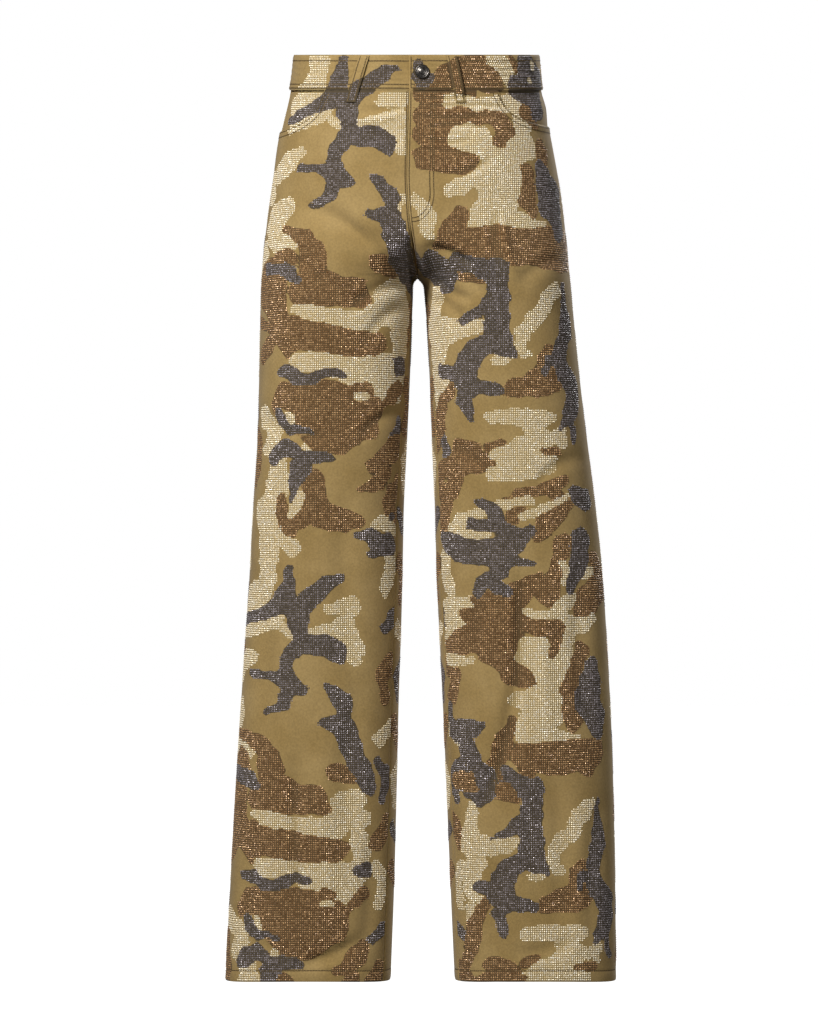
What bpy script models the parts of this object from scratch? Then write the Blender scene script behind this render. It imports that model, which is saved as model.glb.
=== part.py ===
"""High-waisted wide-leg jeans, hollow and hanging as if worn. Metres, +Z up.

X runs across the body and +X is the wearer's left, the front faces -Y, and the origin is the
centre of the waist opening. Each cut piece of cloth is one closed wall with a small gap to its
neighbours at the seams.

The cloth follows one surface for each half of the garment. At every height that surface is a
rounded section: below the crotch a whole tube, and above it a tube that reaches past the body's
middle, so that the two halves meet there and the fork forms by itself.
"""

import math
from collections import namedtuple

import bmesh
import bpy
import numpy as np

MM = 0.001

# Cloth and seams
WALL = 1.6 * MM
SEAM_GAP = 0.3 * MM
LIFT = 0.3 * MM

# Waistband: one strip round the waist, its end lapped over the other at the centre front
BAND_HEIGHT = 42 * MM
BAND_WALL = 2.2 * MM
BAND_PROUD = 0.8 * MM
BAND_OVER = 2.0 * MM
BAND_UNDER = -0.5 * MM
BAND_RAMP = 22 * MM
BAND_UNDERLAP = 38 * MM
BAND_COLUMNS = 72
BAND_ROWS = (0.0, -6 * MM, -BAND_HEIGHT)

# Heights of the main lines, measured down the side
CROTCH = -266 * MM
HEM = -1094 * MM
FORK_HEIGHT = 100 * MM
FORK_POWER = 0.75
WAIST_TILT = 0.125
TILT_ENDS = -240 * MM
HEM_DROOP = 5 * MM
DROOP_STARTS = -900 * MM

# The section is a rounded oval: 2 is an ellipse, and more is fuller at the corners
FULLNESS = 2.3
OUTSEAM_ANGLE = math.radians(-6)
INSEAM_DRIFT = 150 * MM

# Fly: the left front's edge laps over the right front's
FLY_END = -195 * MM
FLY_FADE = 30 * MM
FLY_WIDTH = 14 * MM
FLY_RISE = 1.0 * MM
FLY_SINK = 0.8 * MM

# Scoop pockets: the hip piece shows behind the front panel's cut-away corner
SCOOP_POWER = 3.3
SCOOP_CUTS = np.array([1, 0.985, 0.95, 0.86, 0.7, 0.52, 0.34, 0.17, 0])
FACING_CUTS = np.array([1.1, 1, 0.86, 0.7, 0.52, 0.34, 0.17, 0])
FACING_DROP = 2.5 * MM
FACING_UNDERLAP = 14 * MM

# Back yoke and patch pockets
YOKE_SIDE = -85 * MM
YOKE_CENTRE = -118 * MM
YOKE_FADE = -185 * MM
YOKE_ROWS = 5
POCKET_TOP = -119 * MM
POCKET_TOP_SLANT = 6 * MM
POCKET_CORNER = -236 * MM
POCKET_TIP = 20 * MM
POCKET_FROM_SIDE = 120 * MM
POCKET_HALF_TOP = 69 * MM
POCKET_HALF_BOTTOM = 61 * MM
POCKET_LIFT = 0.7 * MM
POCKET_COLUMNS = 12
POCKET_ROWS = 10

# Belt loops
LOOP_WIDTH = 12 * MM
LOOP_WALL = 1.4 * MM
LOOP_STAND = 1.5 * MM
LOOP_TAIL_LIFT = 0.6 * MM

# A loop's rows from the band's top edge down: whether the row lies over the band (1) or on the
# panel (0), and its share of the stand-off that a belt needs
LoopRow = namedtuple("LoopRow", "z over_band stand")
LOOP_COLUMNS = 3
LOOP_ROWS = (
    LoopRow(-1, 1, 0),
    LoopRow(-5, 1, 0.6),
    LoopRow(-14, 1, 1),
    LoopRow(-28, 1, 1),
    LoopRow(-38, 1, 0.8),
    LoopRow(-45, 1, 0.1),
    LoopRow(-51, 0, 0),
    LoopRow(-57, 0, 0),
)

# Button: its place, and its turned rings in millimetres from the seat to the dome
BUTTON_X = 7 * MM
BUTTON_HEIGHT = -20 * MM
BUTTON_SEGMENTS = 28
BUTTON_DOME = 2.9 * MM
BUTTON_SHARP = 30
ButtonRing = namedtuple("ButtonRing", "radius rise")
BUTTON_RINGS = (
    ButtonRing(6.2, 0.0),
    ButtonRing(8.2, 0.7),
    ButtonRing(8.2, 1.6),
    ButtonRing(7.1, 2.4),
    ButtonRing(5.1, 1.9),
    ButtonRing(3.3, 2.5),
)

FRONT_INNER_COLUMNS = 5
FRONT_BLEND = -135 * MM
FRONT_FADE = 150 * MM
PANEL_COLUMNS = 12
FRONT_TOP_ROWS = 6
BACK_TOP_ROWS = 6
FACING_ROWS = 5
LEG_ROWS = 13
LEG_ROWS_START = 180 * MM
BELOW_CROTCH = np.array([8, 22, 45, 80, 125]) * MM
FORK_STEPS = np.array([1.0, 0.72, 0.48, 0.3, 0.18, 0.09, 0.035, 0])
ARC_SAMPLES = 161
NORMAL_TURN = 0.02
NORMAL_DROP = 0.5 * MM
CLOTH_SHARP = 40

# The outline from the front and the side, in millimetres: the side edges of the right and left
# leg, and how far the cloth stands out before and behind the side line.
Outline = namedtuple("Outline", "z right left front back")
OUTLINE = (
    Outline(0, -144.8, 146.2, 104, 104),
    Outline(-42, -150.3, 150.6, 106, 108),
    Outline(-65, -155.0, 156.6, 109, 113),
    Outline(-89, -161.0, 158.8, 111, 119),
    Outline(-113, -165.4, 163.0, 113, 124),
    Outline(-150, -170.0, 169.6, 114, 129),
    Outline(-200, -177.0, 176.4, 114, 128),
    Outline(-250, -182.4, 181.4, 110, 116),
    Outline(-300, -184.6, 186.0, 104, 103),
    Outline(-400, -186.8, 196.2, 95, 91),
    Outline(-470, -189.0, 204.9, 90, 87),
    Outline(-541, -193.6, 213.8, 86, 84),
    Outline(-613, -197.8, 221.3, 83, 82),
    Outline(-684, -202.3, 226.2, 80, 80),
    Outline(-827, -211.6, 233.4, 76, 78),
    Outline(-970, -220.0, 236.8, 73, 77),
    Outline(-1094, -227.0, 238.2, 72, 76),
)

# The inner edges of the two legs below the crotch, in millimetres
Inner = namedtuple("Inner", "z right left")
INNER = (
    Inner(-266, 2.0, 2.0),
    Inner(-269, -1.5, 5.2),
    Inner(-275, -3.6, 9.0),
    Inner(-292, -3.9, 10.7),
    Inner(-327, -4.9, 13.1),
    Inner(-399, -7.6, 16.7),
    Inner(-470, -10.9, 19.2),
    Inner(-541, -14.3, 22.4),
    Inner(-613, -15.7, 24.2),
    Inner(-684, -17.5, 27.4),
    Inner(-756, -20.0, 31.0),
    Inner(-863, -22.5, 35.7),
    Inner(-970, -25.2, 40.2),
    Inner(-1094, -30.0, 45.8),
)

# The centre seam's place across the body, in millimetres
Middle = namedtuple("Middle", "z x")
MIDDLE = (
    Middle(0, -8.5),
    Middle(-42, -8.5),
    Middle(-150, -10.5),
    Middle(-195, -8.3),
    Middle(-231, -4.0),
    Middle(-266, 2.0),
)

# The largest folds, in millimetres as seen from the front or from behind: the line of a soft
# trough (depth above 0) or ridge (depth below 0), its reach to each side and its depth.
Fold = namedtuple("Fold", "face x0 z0 x1 z1 reach depth")
FOLDS = (
    Fold("front", -123, -187, -41, -235, 13, 3.0),
    Fold("front", -97, -199, -25, -262, 12, 3.0),
    Fold("front", 20, -238, 60, -257, 11, 4.0),
    Fold("front", -136, -414, -136, -568, 15, -2.5),
    Fold("front", 126, -635, 122, -765, 17, 4.0),
    Fold("front", 121, -768, 86, -867, 16, 3.5),
    Fold("front", -148, -856, -147, -995, 17, 4.0),
    Fold("front", -128, -1073, -68, -1051, 12, 3.5),
    Fold("back", -150, -300, -45, -330, 15, 3.5),
    Fold("back", 150, -296, 50, -328, 15, 3.5),
    Fold("back", -70, -560, -160, -600, 18, 3.0),
    Fold("back", 85, -575, 190, -622, 18, 3.0),
    Fold("back", -135, -760, -128, -960, 18, 3.5),
    Fold("back", 140, -730, 148, -930, 18, 3.5),
)

# One row for each leg: its side of the body, how far its inseam lies before the inner edge, how
# deep its scoop pocket falls below the waist and how wide the opening is along the cloth.
Leg = namedtuple("Leg", "name side inseam_angle scoop_bottom scoop_width")
RIGHT = Leg("right", -1, math.radians(26), -91.6 * MM, 113 * MM)
LEFT = Leg("left", 1, math.radians(20), -86.0 * MM, 124 * MM)

# Front loops slant with the cloth: their places across the body at the waist and at the tail, and
# how far out the band's face lies below them
Loop = namedtuple("Loop", "name leg x_top x_tail behind face")
LOOPS = (
    Loop("belt_loop_front_right", RIGHT, -60 * MM, -76 * MM, False, BAND_PROUD),
    Loop("belt_loop_front_left", LEFT, 41 * MM, 52 * MM, False, BAND_OVER),
    Loop("belt_loop_side_right", RIGHT, -112 * MM, -114 * MM, True, BAND_PROUD),
    Loop("belt_loop_side_left", LEFT, 106 * MM, 108 * MM, True, BAND_PROUD),
    Loop("belt_loop_back", LEFT, -8 * MM, -8 * MM, True, BAND_PROUD),
)


# ---------------------------------------------------------------- curves through the tables

def smooth_curve(knots, values, place):
    """Read a curve through the knots that has no corners and never overshoots a value."""
    order = np.argsort(knots)
    knots = knots[order]
    values = values[order]
    step = np.diff(knots)
    slope = np.diff(values) / step
    both = slope[:-1] * slope[1:]
    total = slope[:-1] + slope[1:]
    tangent = np.empty_like(values)
    tangent[0] = slope[0]
    tangent[-1] = slope[-1]
    tangent[1:-1] = np.where(both > 0, 2 * both / np.where(both > 0, total, 1), 0)
    place = np.clip(place, knots[0], knots[-1])
    k = np.clip(np.searchsorted(knots, place) - 1, 0, len(step) - 1)
    t = (place - knots[k]) / step[k]
    bend = t * t * (3 - 2 * t)
    start = t * (1 - t) * (1 - t) * tangent[k] * step[k]
    end = t * t * (1 - t) * tangent[k + 1] * step[k]
    return values[k] * (1 - bend) + values[k + 1] * bend + start - end


def follow(table, name, height):
    """Read a table's named column at a height."""
    knots = np.array([row.z for row in table]) * MM
    values = np.array([getattr(row, name) for row in table]) * MM
    return smooth_curve(knots, values, height)


def smooth_step(value):
    """Rise softly from 0 to 1 as the value does."""
    value = np.clip(value, 0, 1)
    return value * value * (3 - 2 * value)


# ---------------------------------------------------------------- the surface of one half

def fork_reach(height):
    """How far a half's section reaches past the middle: 0 at the crotch, 1 at the hips."""
    return smooth_step((height - CROTCH) / FORK_HEIGHT) ** FORK_POWER


def middle_of(leg, height):
    """The seam plane that a half keeps to, half a gap to its own side."""
    return follow(MIDDLE, "x", height) + leg.side * SEAM_GAP / 2


def section(leg, height):
    """Centre and half width of a half's section, both with the leg's sign."""
    outer = follow(OUTLINE, leg.name, height)
    middle = middle_of(leg, height)
    past = middle - fork_reach(height) * (outer - middle)
    own = follow(INNER, leg.name, height) + leg.side * SEAM_GAP / 2
    inner = np.where(height > CROTCH, past, own)
    return (outer + inner) / 2, (outer - inner) / 2


def plain_point(leg, angle, height):
    """A point of the surface before its folds. Angle 0 is the side, pi/2 the front."""
    centre, half = section(leg, height)
    c = np.cos(angle)
    s = np.sin(angle)
    x = centre + half * np.sign(c) * np.abs(c) ** (2 / FULLNESS)
    depth = np.where(s > 0, follow(OUTLINE, "front", height), follow(OUTLINE, "back", height))
    y = -depth * np.sign(s) * np.abs(s) ** (2 / FULLNESS)
    tilt = WAIST_TILT * smooth_step((height - TILT_ENDS) / -TILT_ENDS)
    droop = HEM_DROOP * smooth_step((DROOP_STARTS - height) / (DROOP_STARTS - HEM)) * c * c
    return np.stack([x, y, height + tilt * y - droop], axis=-1)


def plain_normal(leg, angle, height):
    """The surface's outward direction, from small steps round and down it."""
    ahead = plain_point(leg, angle + NORMAL_TURN, height)
    behind = plain_point(leg, angle - NORMAL_TURN, height)
    below = plain_point(leg, angle, height - NORMAL_DROP)
    above = plain_point(leg, angle, height + NORMAL_DROP)
    normal = np.cross(ahead - behind, below - above) * leg.side
    return normal / np.linalg.norm(normal, axis=-1, keepdims=True)


def fold_depth(point, angle):
    """How far the folds press the cloth in: a bell across each line that dies at its ends."""
    x = point[..., 0]
    z = point[..., 2]
    front = np.sin(angle) > 0
    depth = np.zeros_like(x)
    for fold in FOLDS:
        along_x = (fold.x1 - fold.x0) * MM
        along_z = (fold.z1 - fold.z0) * MM
        length = math.hypot(along_x, along_z)
        dx = x - fold.x0 * MM
        dz = z - fold.z0 * MM
        travel = (dx * along_x + dz * along_z) / length ** 2
        across = (dx * along_z - dz * along_x) / length
        fade = smooth_step(0.5 + 2 * travel) * smooth_step(2.5 - 2 * travel)
        bell = np.exp(-(across / (fold.reach * MM)) ** 2)
        here = front if fold.face == "front" else ~front
        depth += here * fold.depth * MM * bell * fade
    return depth


def from_middle(leg, point, height):
    """Distance from the centre seam across the body."""
    return np.abs(point[..., 0] - middle_of(leg, height))


def fly_rise(leg, point, angle, height):
    """The lapped edge: the left front rises beside the centre seam and the right one sinks."""
    near = smooth_step(1 - from_middle(leg, point, height) / FLY_WIDTH)
    above = smooth_step((height - FLY_END) / FLY_FADE)
    amount = FLY_RISE if leg is LEFT else -FLY_SINK
    return amount * near * above * (np.sin(angle) > 0)


def cloth_point(leg, angle, height, lift=0.0):
    """A point on the cloth with its folds and the lapped fly, moved out by the lift."""
    point = plain_point(leg, angle, height)
    normal = plain_normal(leg, angle, height)
    out = lift - fold_depth(point, angle) + fly_rise(leg, point, angle, height)
    return point + normal * np.asarray(out)[..., None]


# ---------------------------------------------------------------- places along a section

def middle_angle(height):
    """The angle at which a half's section meets the seam plane above the crotch."""
    reach = fork_reach(height)
    ratio = (1 - reach) / (1 + reach)
    return math.pi - np.arccos(ratio ** (FULLNESS / 2))


def inner_angle(leg, height, behind):
    """The angle of the centre seam or, below the crotch, of the inseam."""
    inseam = leg.inseam_angle * smooth_step((CROTCH - height) / INSEAM_DRIFT)
    below = -math.pi - inseam if behind else math.pi - inseam
    above = -middle_angle(height) if behind else middle_angle(height)
    return np.where(height > CROTCH, above, below)


def angles_along(leg, height, behind, share):
    """Angles at shares of the cloth's length from the inner seam (0) to the side seam (1).

    Also gives that length. Both ends stop half a gap short of the seam.
    """
    gap = SEAM_GAP / 2
    height = np.asarray(height, dtype=float)
    start = inner_angle(leg, height, behind)[..., None]
    run = np.linspace(0, 1, ARC_SAMPLES)
    angles = start + (OUTSEAM_ANGLE - start) * run
    points = plain_point(leg, angles, height[..., None] + 0 * angles)
    steps = np.linalg.norm(np.diff(points, axis=-2), axis=-1)
    length = np.concatenate([np.zeros(steps.shape[:-1] + (1,)), np.cumsum(steps, axis=-1)], axis=-1)
    flat_angles = angles.reshape(-1, ARC_SAMPLES)
    flat_length = length.reshape(-1, ARC_SAMPLES)
    flat_share = np.broadcast_to(share, height.shape).reshape(-1)
    result = np.empty(len(flat_share))
    for k, value in enumerate(flat_share):
        total = flat_length[k, -1]
        result[k] = np.interp(gap + value * (total - 2 * gap), flat_length[k], flat_angles[k])
    return result.reshape(height.shape), length[..., -1]


def angle_at_x(leg, x, height, behind):
    """The angle at which a section stands at a place across the body."""
    centre, half = section(leg, height)
    ratio = (x - centre) / half
    angle = np.arccos(np.sign(ratio) * np.abs(ratio) ** (FULLNESS / 2))
    return -angle if behind else angle


# ---------------------------------------------------------------- solids from grids

def grid_faces(rows, columns, first):
    """Quads between neighbouring points of a grid that starts at an index."""
    faces = []
    for i in range(rows - 1):
        for j in range(columns - 1):
            a = first + i * columns + j
            faces.append((a, a + 1, a + columns + 1, a + columns))
    return faces


def rim_faces(rows, columns):
    """Quads that close the four edges between an outer and an inner grid of one size."""
    size = rows * columns
    edge = list(range(columns))
    edge += [i * columns + columns - 1 for i in range(1, rows)]
    edge += [(rows - 1) * columns + j for j in range(columns - 2, -1, -1)]
    edge += [i * columns for i in range(rows - 2, 0, -1)]
    return [(edge[k], edge[k - 1], edge[k - 1] + size, edge[k] + size) for k in range(len(edge))]


def add_object(name, points, faces, material, sharp_degrees=CLOTH_SHARP):
    """A named object from points and faces, its faces turned outward."""
    mesh = bpy.data.meshes.new(name)
    mesh.from_pydata([tuple(p) for p in points], [], faces)
    body = bmesh.new()
    body.from_mesh(mesh)
    bmesh.ops.recalc_face_normals(body, faces=body.faces)
    body.to_mesh(mesh)
    body.free()
    mesh.shade_smooth()
    mesh.set_sharp_from_angle(angle=math.radians(sharp_degrees))
    mesh.materials.append(material)
    thing = bpy.data.objects.new(name, mesh)
    bpy.context.scene.collection.objects.link(thing)
    return thing


def add_wall(name, outer, inner, material):
    """A closed wall between an outer and an inner grid of points."""
    rows, columns = outer.shape[:2]
    points = np.concatenate([outer.reshape(-1, 3), inner.reshape(-1, 3)])
    faces = grid_faces(rows, columns, 0)
    faces += grid_faces(rows, columns, rows * columns)
    faces += rim_faces(rows, columns)
    return add_object(name, points, faces, material)


# ---------------------------------------------------------------- the cut pieces

def fork_rows():
    """Heights round the fork, close together where the crotch curve runs flat."""
    return CROTCH + FORK_HEIGHT * FORK_STEPS


def leg_rows():
    """Heights from just below the crotch to the hem."""
    even = np.linspace(CROTCH - LEG_ROWS_START, HEM, LEG_ROWS)
    return np.concatenate([CROTCH - BELOW_CROTCH, even])


def front_grid(leg):
    """Angles and heights of a front panel, whose first row runs along the waist and the scoop."""
    inner = FRONT_INNER_COLUMNS
    columns = inner + len(SCOOP_CUTS) - 1
    cuts = np.concatenate([np.ones(inner), SCOOP_CUTS])
    rise = 1 - (1 - cuts ** SCOOP_POWER) ** (1 / SCOOP_POWER)
    top = leg.scoop_bottom + (-BAND_HEIGHT - SEAM_GAP - leg.scoop_bottom) * rise
    upper = top + (FRONT_BLEND - top) * np.linspace(0, 1, FRONT_TOP_ROWS)[:, None]
    rows = np.concatenate([[(FRONT_BLEND + CROTCH + FORK_HEIGHT) / 2], fork_rows(), leg_rows()])
    height = np.concatenate([upper, rows[:, None] + 0 * top])
    length = angles_along(leg, height, False, 0.5)[1]
    scooped = 1 - leg.scoop_width * cuts / length
    scooped[:, :inner] *= np.arange(inner) / inner
    even = np.arange(columns + 1) / columns
    share = scooped + (even - scooped) * smooth_step((FRONT_BLEND - height) / FRONT_FADE)
    return angles_along(leg, height, False, share)[0], height


def make_front(leg, material):
    """A front panel, its upper outer corner cut away by the scoop pocket."""
    angle, height = front_grid(leg)
    outer = cloth_point(leg, angle, height)
    inner = cloth_point(leg, angle, height, -WALL)
    return add_wall(f"front_{leg.name}", outer, inner, material)


def yoke_line(share):
    """The yoke seam's height: it falls towards the centre back."""
    return YOKE_CENTRE + (YOKE_SIDE - YOKE_CENTRE) * share


def back_grid(leg):
    """Angles and heights of a back panel, whose first rows follow the yoke seam."""
    shares = np.linspace(0, 1, PANEL_COLUMNS + 1)
    hips = np.linspace(YOKE_SIDE, CROTCH + FORK_HEIGHT, BACK_TOP_ROWS)[:-1]
    rows = np.concatenate([hips, fork_rows(), leg_rows()])
    fade = np.clip((rows - YOKE_FADE) / (YOKE_SIDE - YOKE_FADE), 0, 1)
    seam = yoke_line(shares) - SEAM_GAP / 2
    height = rows[:, None] + fade[:, None] * (seam - YOKE_SIDE)
    angle = angles_along(leg, height, True, shares)[0]
    return angle, height


def make_back(leg, material):
    """A back panel, from the yoke seam to the hem."""
    angle, height = back_grid(leg)
    outer = cloth_point(leg, angle, height)
    inner = cloth_point(leg, angle, height, -WALL)
    return add_wall(f"back_{leg.name}", outer, inner, material)


def make_yoke(leg, material):
    """A yoke piece, between the waistband and the back panel."""
    shares = np.linspace(0, 1, PANEL_COLUMNS + 1)
    top = -BAND_HEIGHT - SEAM_GAP
    seam = yoke_line(shares) + SEAM_GAP / 2
    height = top + (seam - top) * np.linspace(0, 1, YOKE_ROWS)[:, None]
    angle = angles_along(leg, height, True, shares)[0]
    outer = cloth_point(leg, angle, height)
    inner = cloth_point(leg, angle, height, -WALL)
    return add_wall(f"yoke_{leg.name}", outer, inner, material)


def make_facing(leg, material):
    """The hip piece that shows in the scoop, just inside the front panel."""
    rows = np.linspace(-BAND_HEIGHT - SEAM_GAP, leg.scoop_bottom - FACING_UNDERLAP, FACING_ROWS)
    height = rows[:, None] + 0 * FACING_CUTS
    length = angles_along(leg, height, False, 0.5)[1]
    angle = angles_along(leg, height, False, 1 - leg.scoop_width * FACING_CUTS / length)[0]
    outer = cloth_point(leg, angle, height, -FACING_DROP)
    inner = cloth_point(leg, angle, height, -FACING_DROP - WALL)
    return add_wall(f"pocket_facing_{leg.name}", outer, inner, material)


def make_back_pocket(leg, material):
    """A patch pocket that follows the back panel, with a pointed lower edge."""
    across = np.linspace(-1, 1, POCKET_COLUMNS + 1)
    down = np.linspace(0, 1, POCKET_ROWS + 1)[:, None]
    top = POCKET_TOP + POCKET_TOP_SLANT * across
    bottom = POCKET_CORNER - POCKET_TIP * (1 - np.abs(across))
    height = top + (bottom - top) * down
    reach = POCKET_HALF_TOP + (POCKET_HALF_BOTTOM - POCKET_HALF_TOP) * down
    length = angles_along(leg, height, True, 0.5)[1]
    share = 1 - (POCKET_FROM_SIDE - reach * across) / length
    angle = angles_along(leg, height, True, share)[0]
    inner = cloth_point(leg, angle, height, POCKET_LIFT)
    outer = cloth_point(leg, angle, height, POCKET_LIFT + WALL)
    return add_wall(f"back_pocket_{leg.name}", outer, inner, material)


def band_path(height):
    """Points, directions and running length once round the waist, from the under end."""
    under = angle_at_x(LEFT, middle_of(LEFT, height) + BAND_UNDERLAP, height, False)
    front = math.pi / 2
    stretches = (
        (LEFT, np.linspace(under, front, ARC_SAMPLES, endpoint=False)),
        (RIGHT, np.linspace(front, -front, ARC_SAMPLES, endpoint=False)),
        (LEFT, np.linspace(-front, front, ARC_SAMPLES)),
    )
    points = np.concatenate([plain_point(leg, a, height + 0 * a) for leg, a in stretches])
    normals = np.concatenate([plain_normal(leg, a, height + 0 * a) for leg, a in stretches])
    steps = np.linalg.norm(np.diff(points, axis=0), axis=1)
    return points, normals, np.concatenate([[0], np.cumsum(steps)])


def band_offset(place, total):
    """How far out the band's face lies: sunk under the lap, proud round the waist, out on it."""
    sunk = smooth_step((BAND_UNDERLAP + BAND_RAMP - place) / BAND_RAMP)
    over = smooth_step((place - (total - BAND_UNDERLAP - BAND_RAMP)) / BAND_RAMP)
    return BAND_PROUD + (BAND_UNDER - BAND_PROUD) * sunk + (BAND_OVER - BAND_PROUD) * over


def make_waistband(material):
    """One strip round the waist, its left end lapped over its right end."""
    outer = []
    inner = []
    for height in BAND_ROWS:
        points, normals, length = band_path(height)
        place = np.linspace(0, length[-1], BAND_COLUMNS + 1)
        point = np.stack([np.interp(place, length, points[:, k]) for k in range(3)], axis=1)
        out = np.stack([np.interp(place, length, normals[:, k]) for k in range(3)], axis=1)
        out /= np.linalg.norm(out, axis=1, keepdims=True)
        face = band_offset(place, length[-1])[:, None]
        outer.append(point + out * face)
        inner.append(point + out * (face - BAND_WALL))
    return add_wall("waistband", np.array(outer), np.array(inner), material)


def make_loop(loop, material):
    """A belt loop: flat on the band's top edge, standing off it, flat again on its tail."""
    heights = np.array([row.z for row in LOOP_ROWS]) * MM
    over_band = np.array([row.over_band for row in LOOP_ROWS])
    stand = np.array([row.stand for row in LOOP_ROWS]) * LOOP_STAND
    lifts = over_band * (loop.face + LIFT) + (1 - over_band) * LOOP_TAIL_LIFT + stand
    run = (heights - heights[0]) / (heights[-1] - heights[0])
    x = loop.x_top + (loop.x_tail - loop.x_top) * run
    angle = angle_at_x(loop.leg, x, heights, loop.behind)
    centre = plain_point(loop.leg, angle, heights)
    beside = plain_point(loop.leg, angle + NORMAL_TURN, heights)
    half_turn = LOOP_WIDTH / 2 * NORMAL_TURN / np.linalg.norm(beside - centre, axis=1)
    angle = angle[:, None] + half_turn[:, None] * np.linspace(-1, 1, LOOP_COLUMNS + 1)
    height = heights[:, None] + 0 * angle
    lift = lifts[:, None] + 0 * angle
    inner = cloth_point(loop.leg, angle, height, lift)
    outer = cloth_point(loop.leg, angle, height, lift + LOOP_WALL)
    return add_wall(loop.name, outer, inner, material)


def make_button(material):
    """A domed metal button, turned about the waistband's outward direction."""
    height = np.array(BUTTON_HEIGHT)
    angle = angle_at_x(LEFT, BUTTON_X, height, False)
    axis = plain_normal(LEFT, angle, height)
    seat = plain_point(LEFT, angle, height) + axis * (BAND_OVER + LIFT)
    across = np.cross(axis, [0, 0, 1])
    across /= np.linalg.norm(across)
    up = np.cross(across, axis)
    turns = 2 * math.pi * np.arange(BUTTON_SEGMENTS) / BUTTON_SEGMENTS
    spokes = across * np.cos(turns)[:, None] + up * np.sin(turns)[:, None]
    rings = [seat + spokes * ring.radius * MM + axis * ring.rise * MM for ring in BUTTON_RINGS]
    points = np.concatenate([[seat], *rings, [seat + axis * BUTTON_DOME]])
    last = len(points) - 1
    faces = []
    for k in range(BUTTON_SEGMENTS):
        after = (k + 1) % BUTTON_SEGMENTS
        faces.append((0, 1 + after, 1 + k))
        for first in range(1, last - BUTTON_SEGMENTS, BUTTON_SEGMENTS):
            above = first + BUTTON_SEGMENTS
            faces.append((first + k, first + after, above + after, above + k))
        faces.append((last - BUTTON_SEGMENTS + k, last - BUTTON_SEGMENTS + after, last))
    return add_object("button", points, faces, material, BUTTON_SHARP)


# ---------------------------------------------------------------- materials and assembly

def linear(value):
    """One sRGB channel, 0 to 1, as linear light."""
    return value / 12.92 if value <= 0.04045 else ((value + 0.055) / 1.055) ** 2.4


def make_material(name, hex_colour, roughness, metallic=0.0):
    """A Principled material from an sRGB hex colour."""
    material = bpy.data.materials.new(name)
    material.use_nodes = True
    shader = material.node_tree.nodes["Principled BSDF"]
    channels = [linear(int(hex_colour[k:k + 2], 16) / 255) for k in (0, 2, 4)]
    shader.inputs["Base Color"].default_value = (*channels, 1)
    shader.inputs["Roughness"].default_value = roughness
    shader.inputs["Metallic"].default_value = metallic
    return material


def clear_scene():
    """Remove every object that the file holds."""
    for thing in list(bpy.data.objects):
        bpy.data.objects.remove(thing, do_unlink=True)


def build_jeans():
    """Make every piece of the jeans."""
    twill = make_material("khaki cotton twill", "8c7848", 0.9)
    trim = make_material("khaki twill, doubled", "86713f", 0.9)
    metal = make_material("gunmetal", "6d6a66", 0.35, 1.0)
    for leg in (RIGHT, LEFT):
        make_front(leg, twill)
        make_back(leg, twill)
        make_yoke(leg, twill)
        make_facing(leg, twill)
        make_back_pocket(leg, twill)
    make_waistband(trim)
    for loop in LOOPS:
        make_loop(loop, trim)
    make_button(metal)


clear_scene()
build_jeans()
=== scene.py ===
"""Wide-leg camouflage jeans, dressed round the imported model. Metres, +Z up, the front faces -Y.

Every cloth piece is a thin wall worked out on the same surface as its solid: at each height a
rounded section, a whole tube for each leg below the crotch and a tube that reaches past the
body's middle above it. A panel's own coordinates are the length along the cloth from its inner
seam and the height, so stitches and rhinestones lie on straight threads of the cloth.
"""

import logging
import math
from dataclasses import dataclass, field
from enum import Enum

import bpy
import numpy as np
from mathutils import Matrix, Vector


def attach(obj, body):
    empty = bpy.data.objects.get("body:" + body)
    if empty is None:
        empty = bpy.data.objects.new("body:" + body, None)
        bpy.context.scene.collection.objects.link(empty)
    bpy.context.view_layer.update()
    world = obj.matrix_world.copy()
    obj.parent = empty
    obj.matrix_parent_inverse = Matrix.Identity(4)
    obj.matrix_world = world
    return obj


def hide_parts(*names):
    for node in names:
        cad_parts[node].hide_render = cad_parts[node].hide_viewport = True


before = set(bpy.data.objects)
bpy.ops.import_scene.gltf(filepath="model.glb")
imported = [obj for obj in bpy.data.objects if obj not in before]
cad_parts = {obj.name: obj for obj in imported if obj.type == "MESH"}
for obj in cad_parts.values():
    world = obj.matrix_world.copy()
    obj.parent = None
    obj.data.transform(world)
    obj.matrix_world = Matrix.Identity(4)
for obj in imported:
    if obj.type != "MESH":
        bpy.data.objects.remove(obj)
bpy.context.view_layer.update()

LOG = logging.getLogger("jeans")
Array = np.ndarray
MM = 0.001


# ---- the garment's sizes

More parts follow.
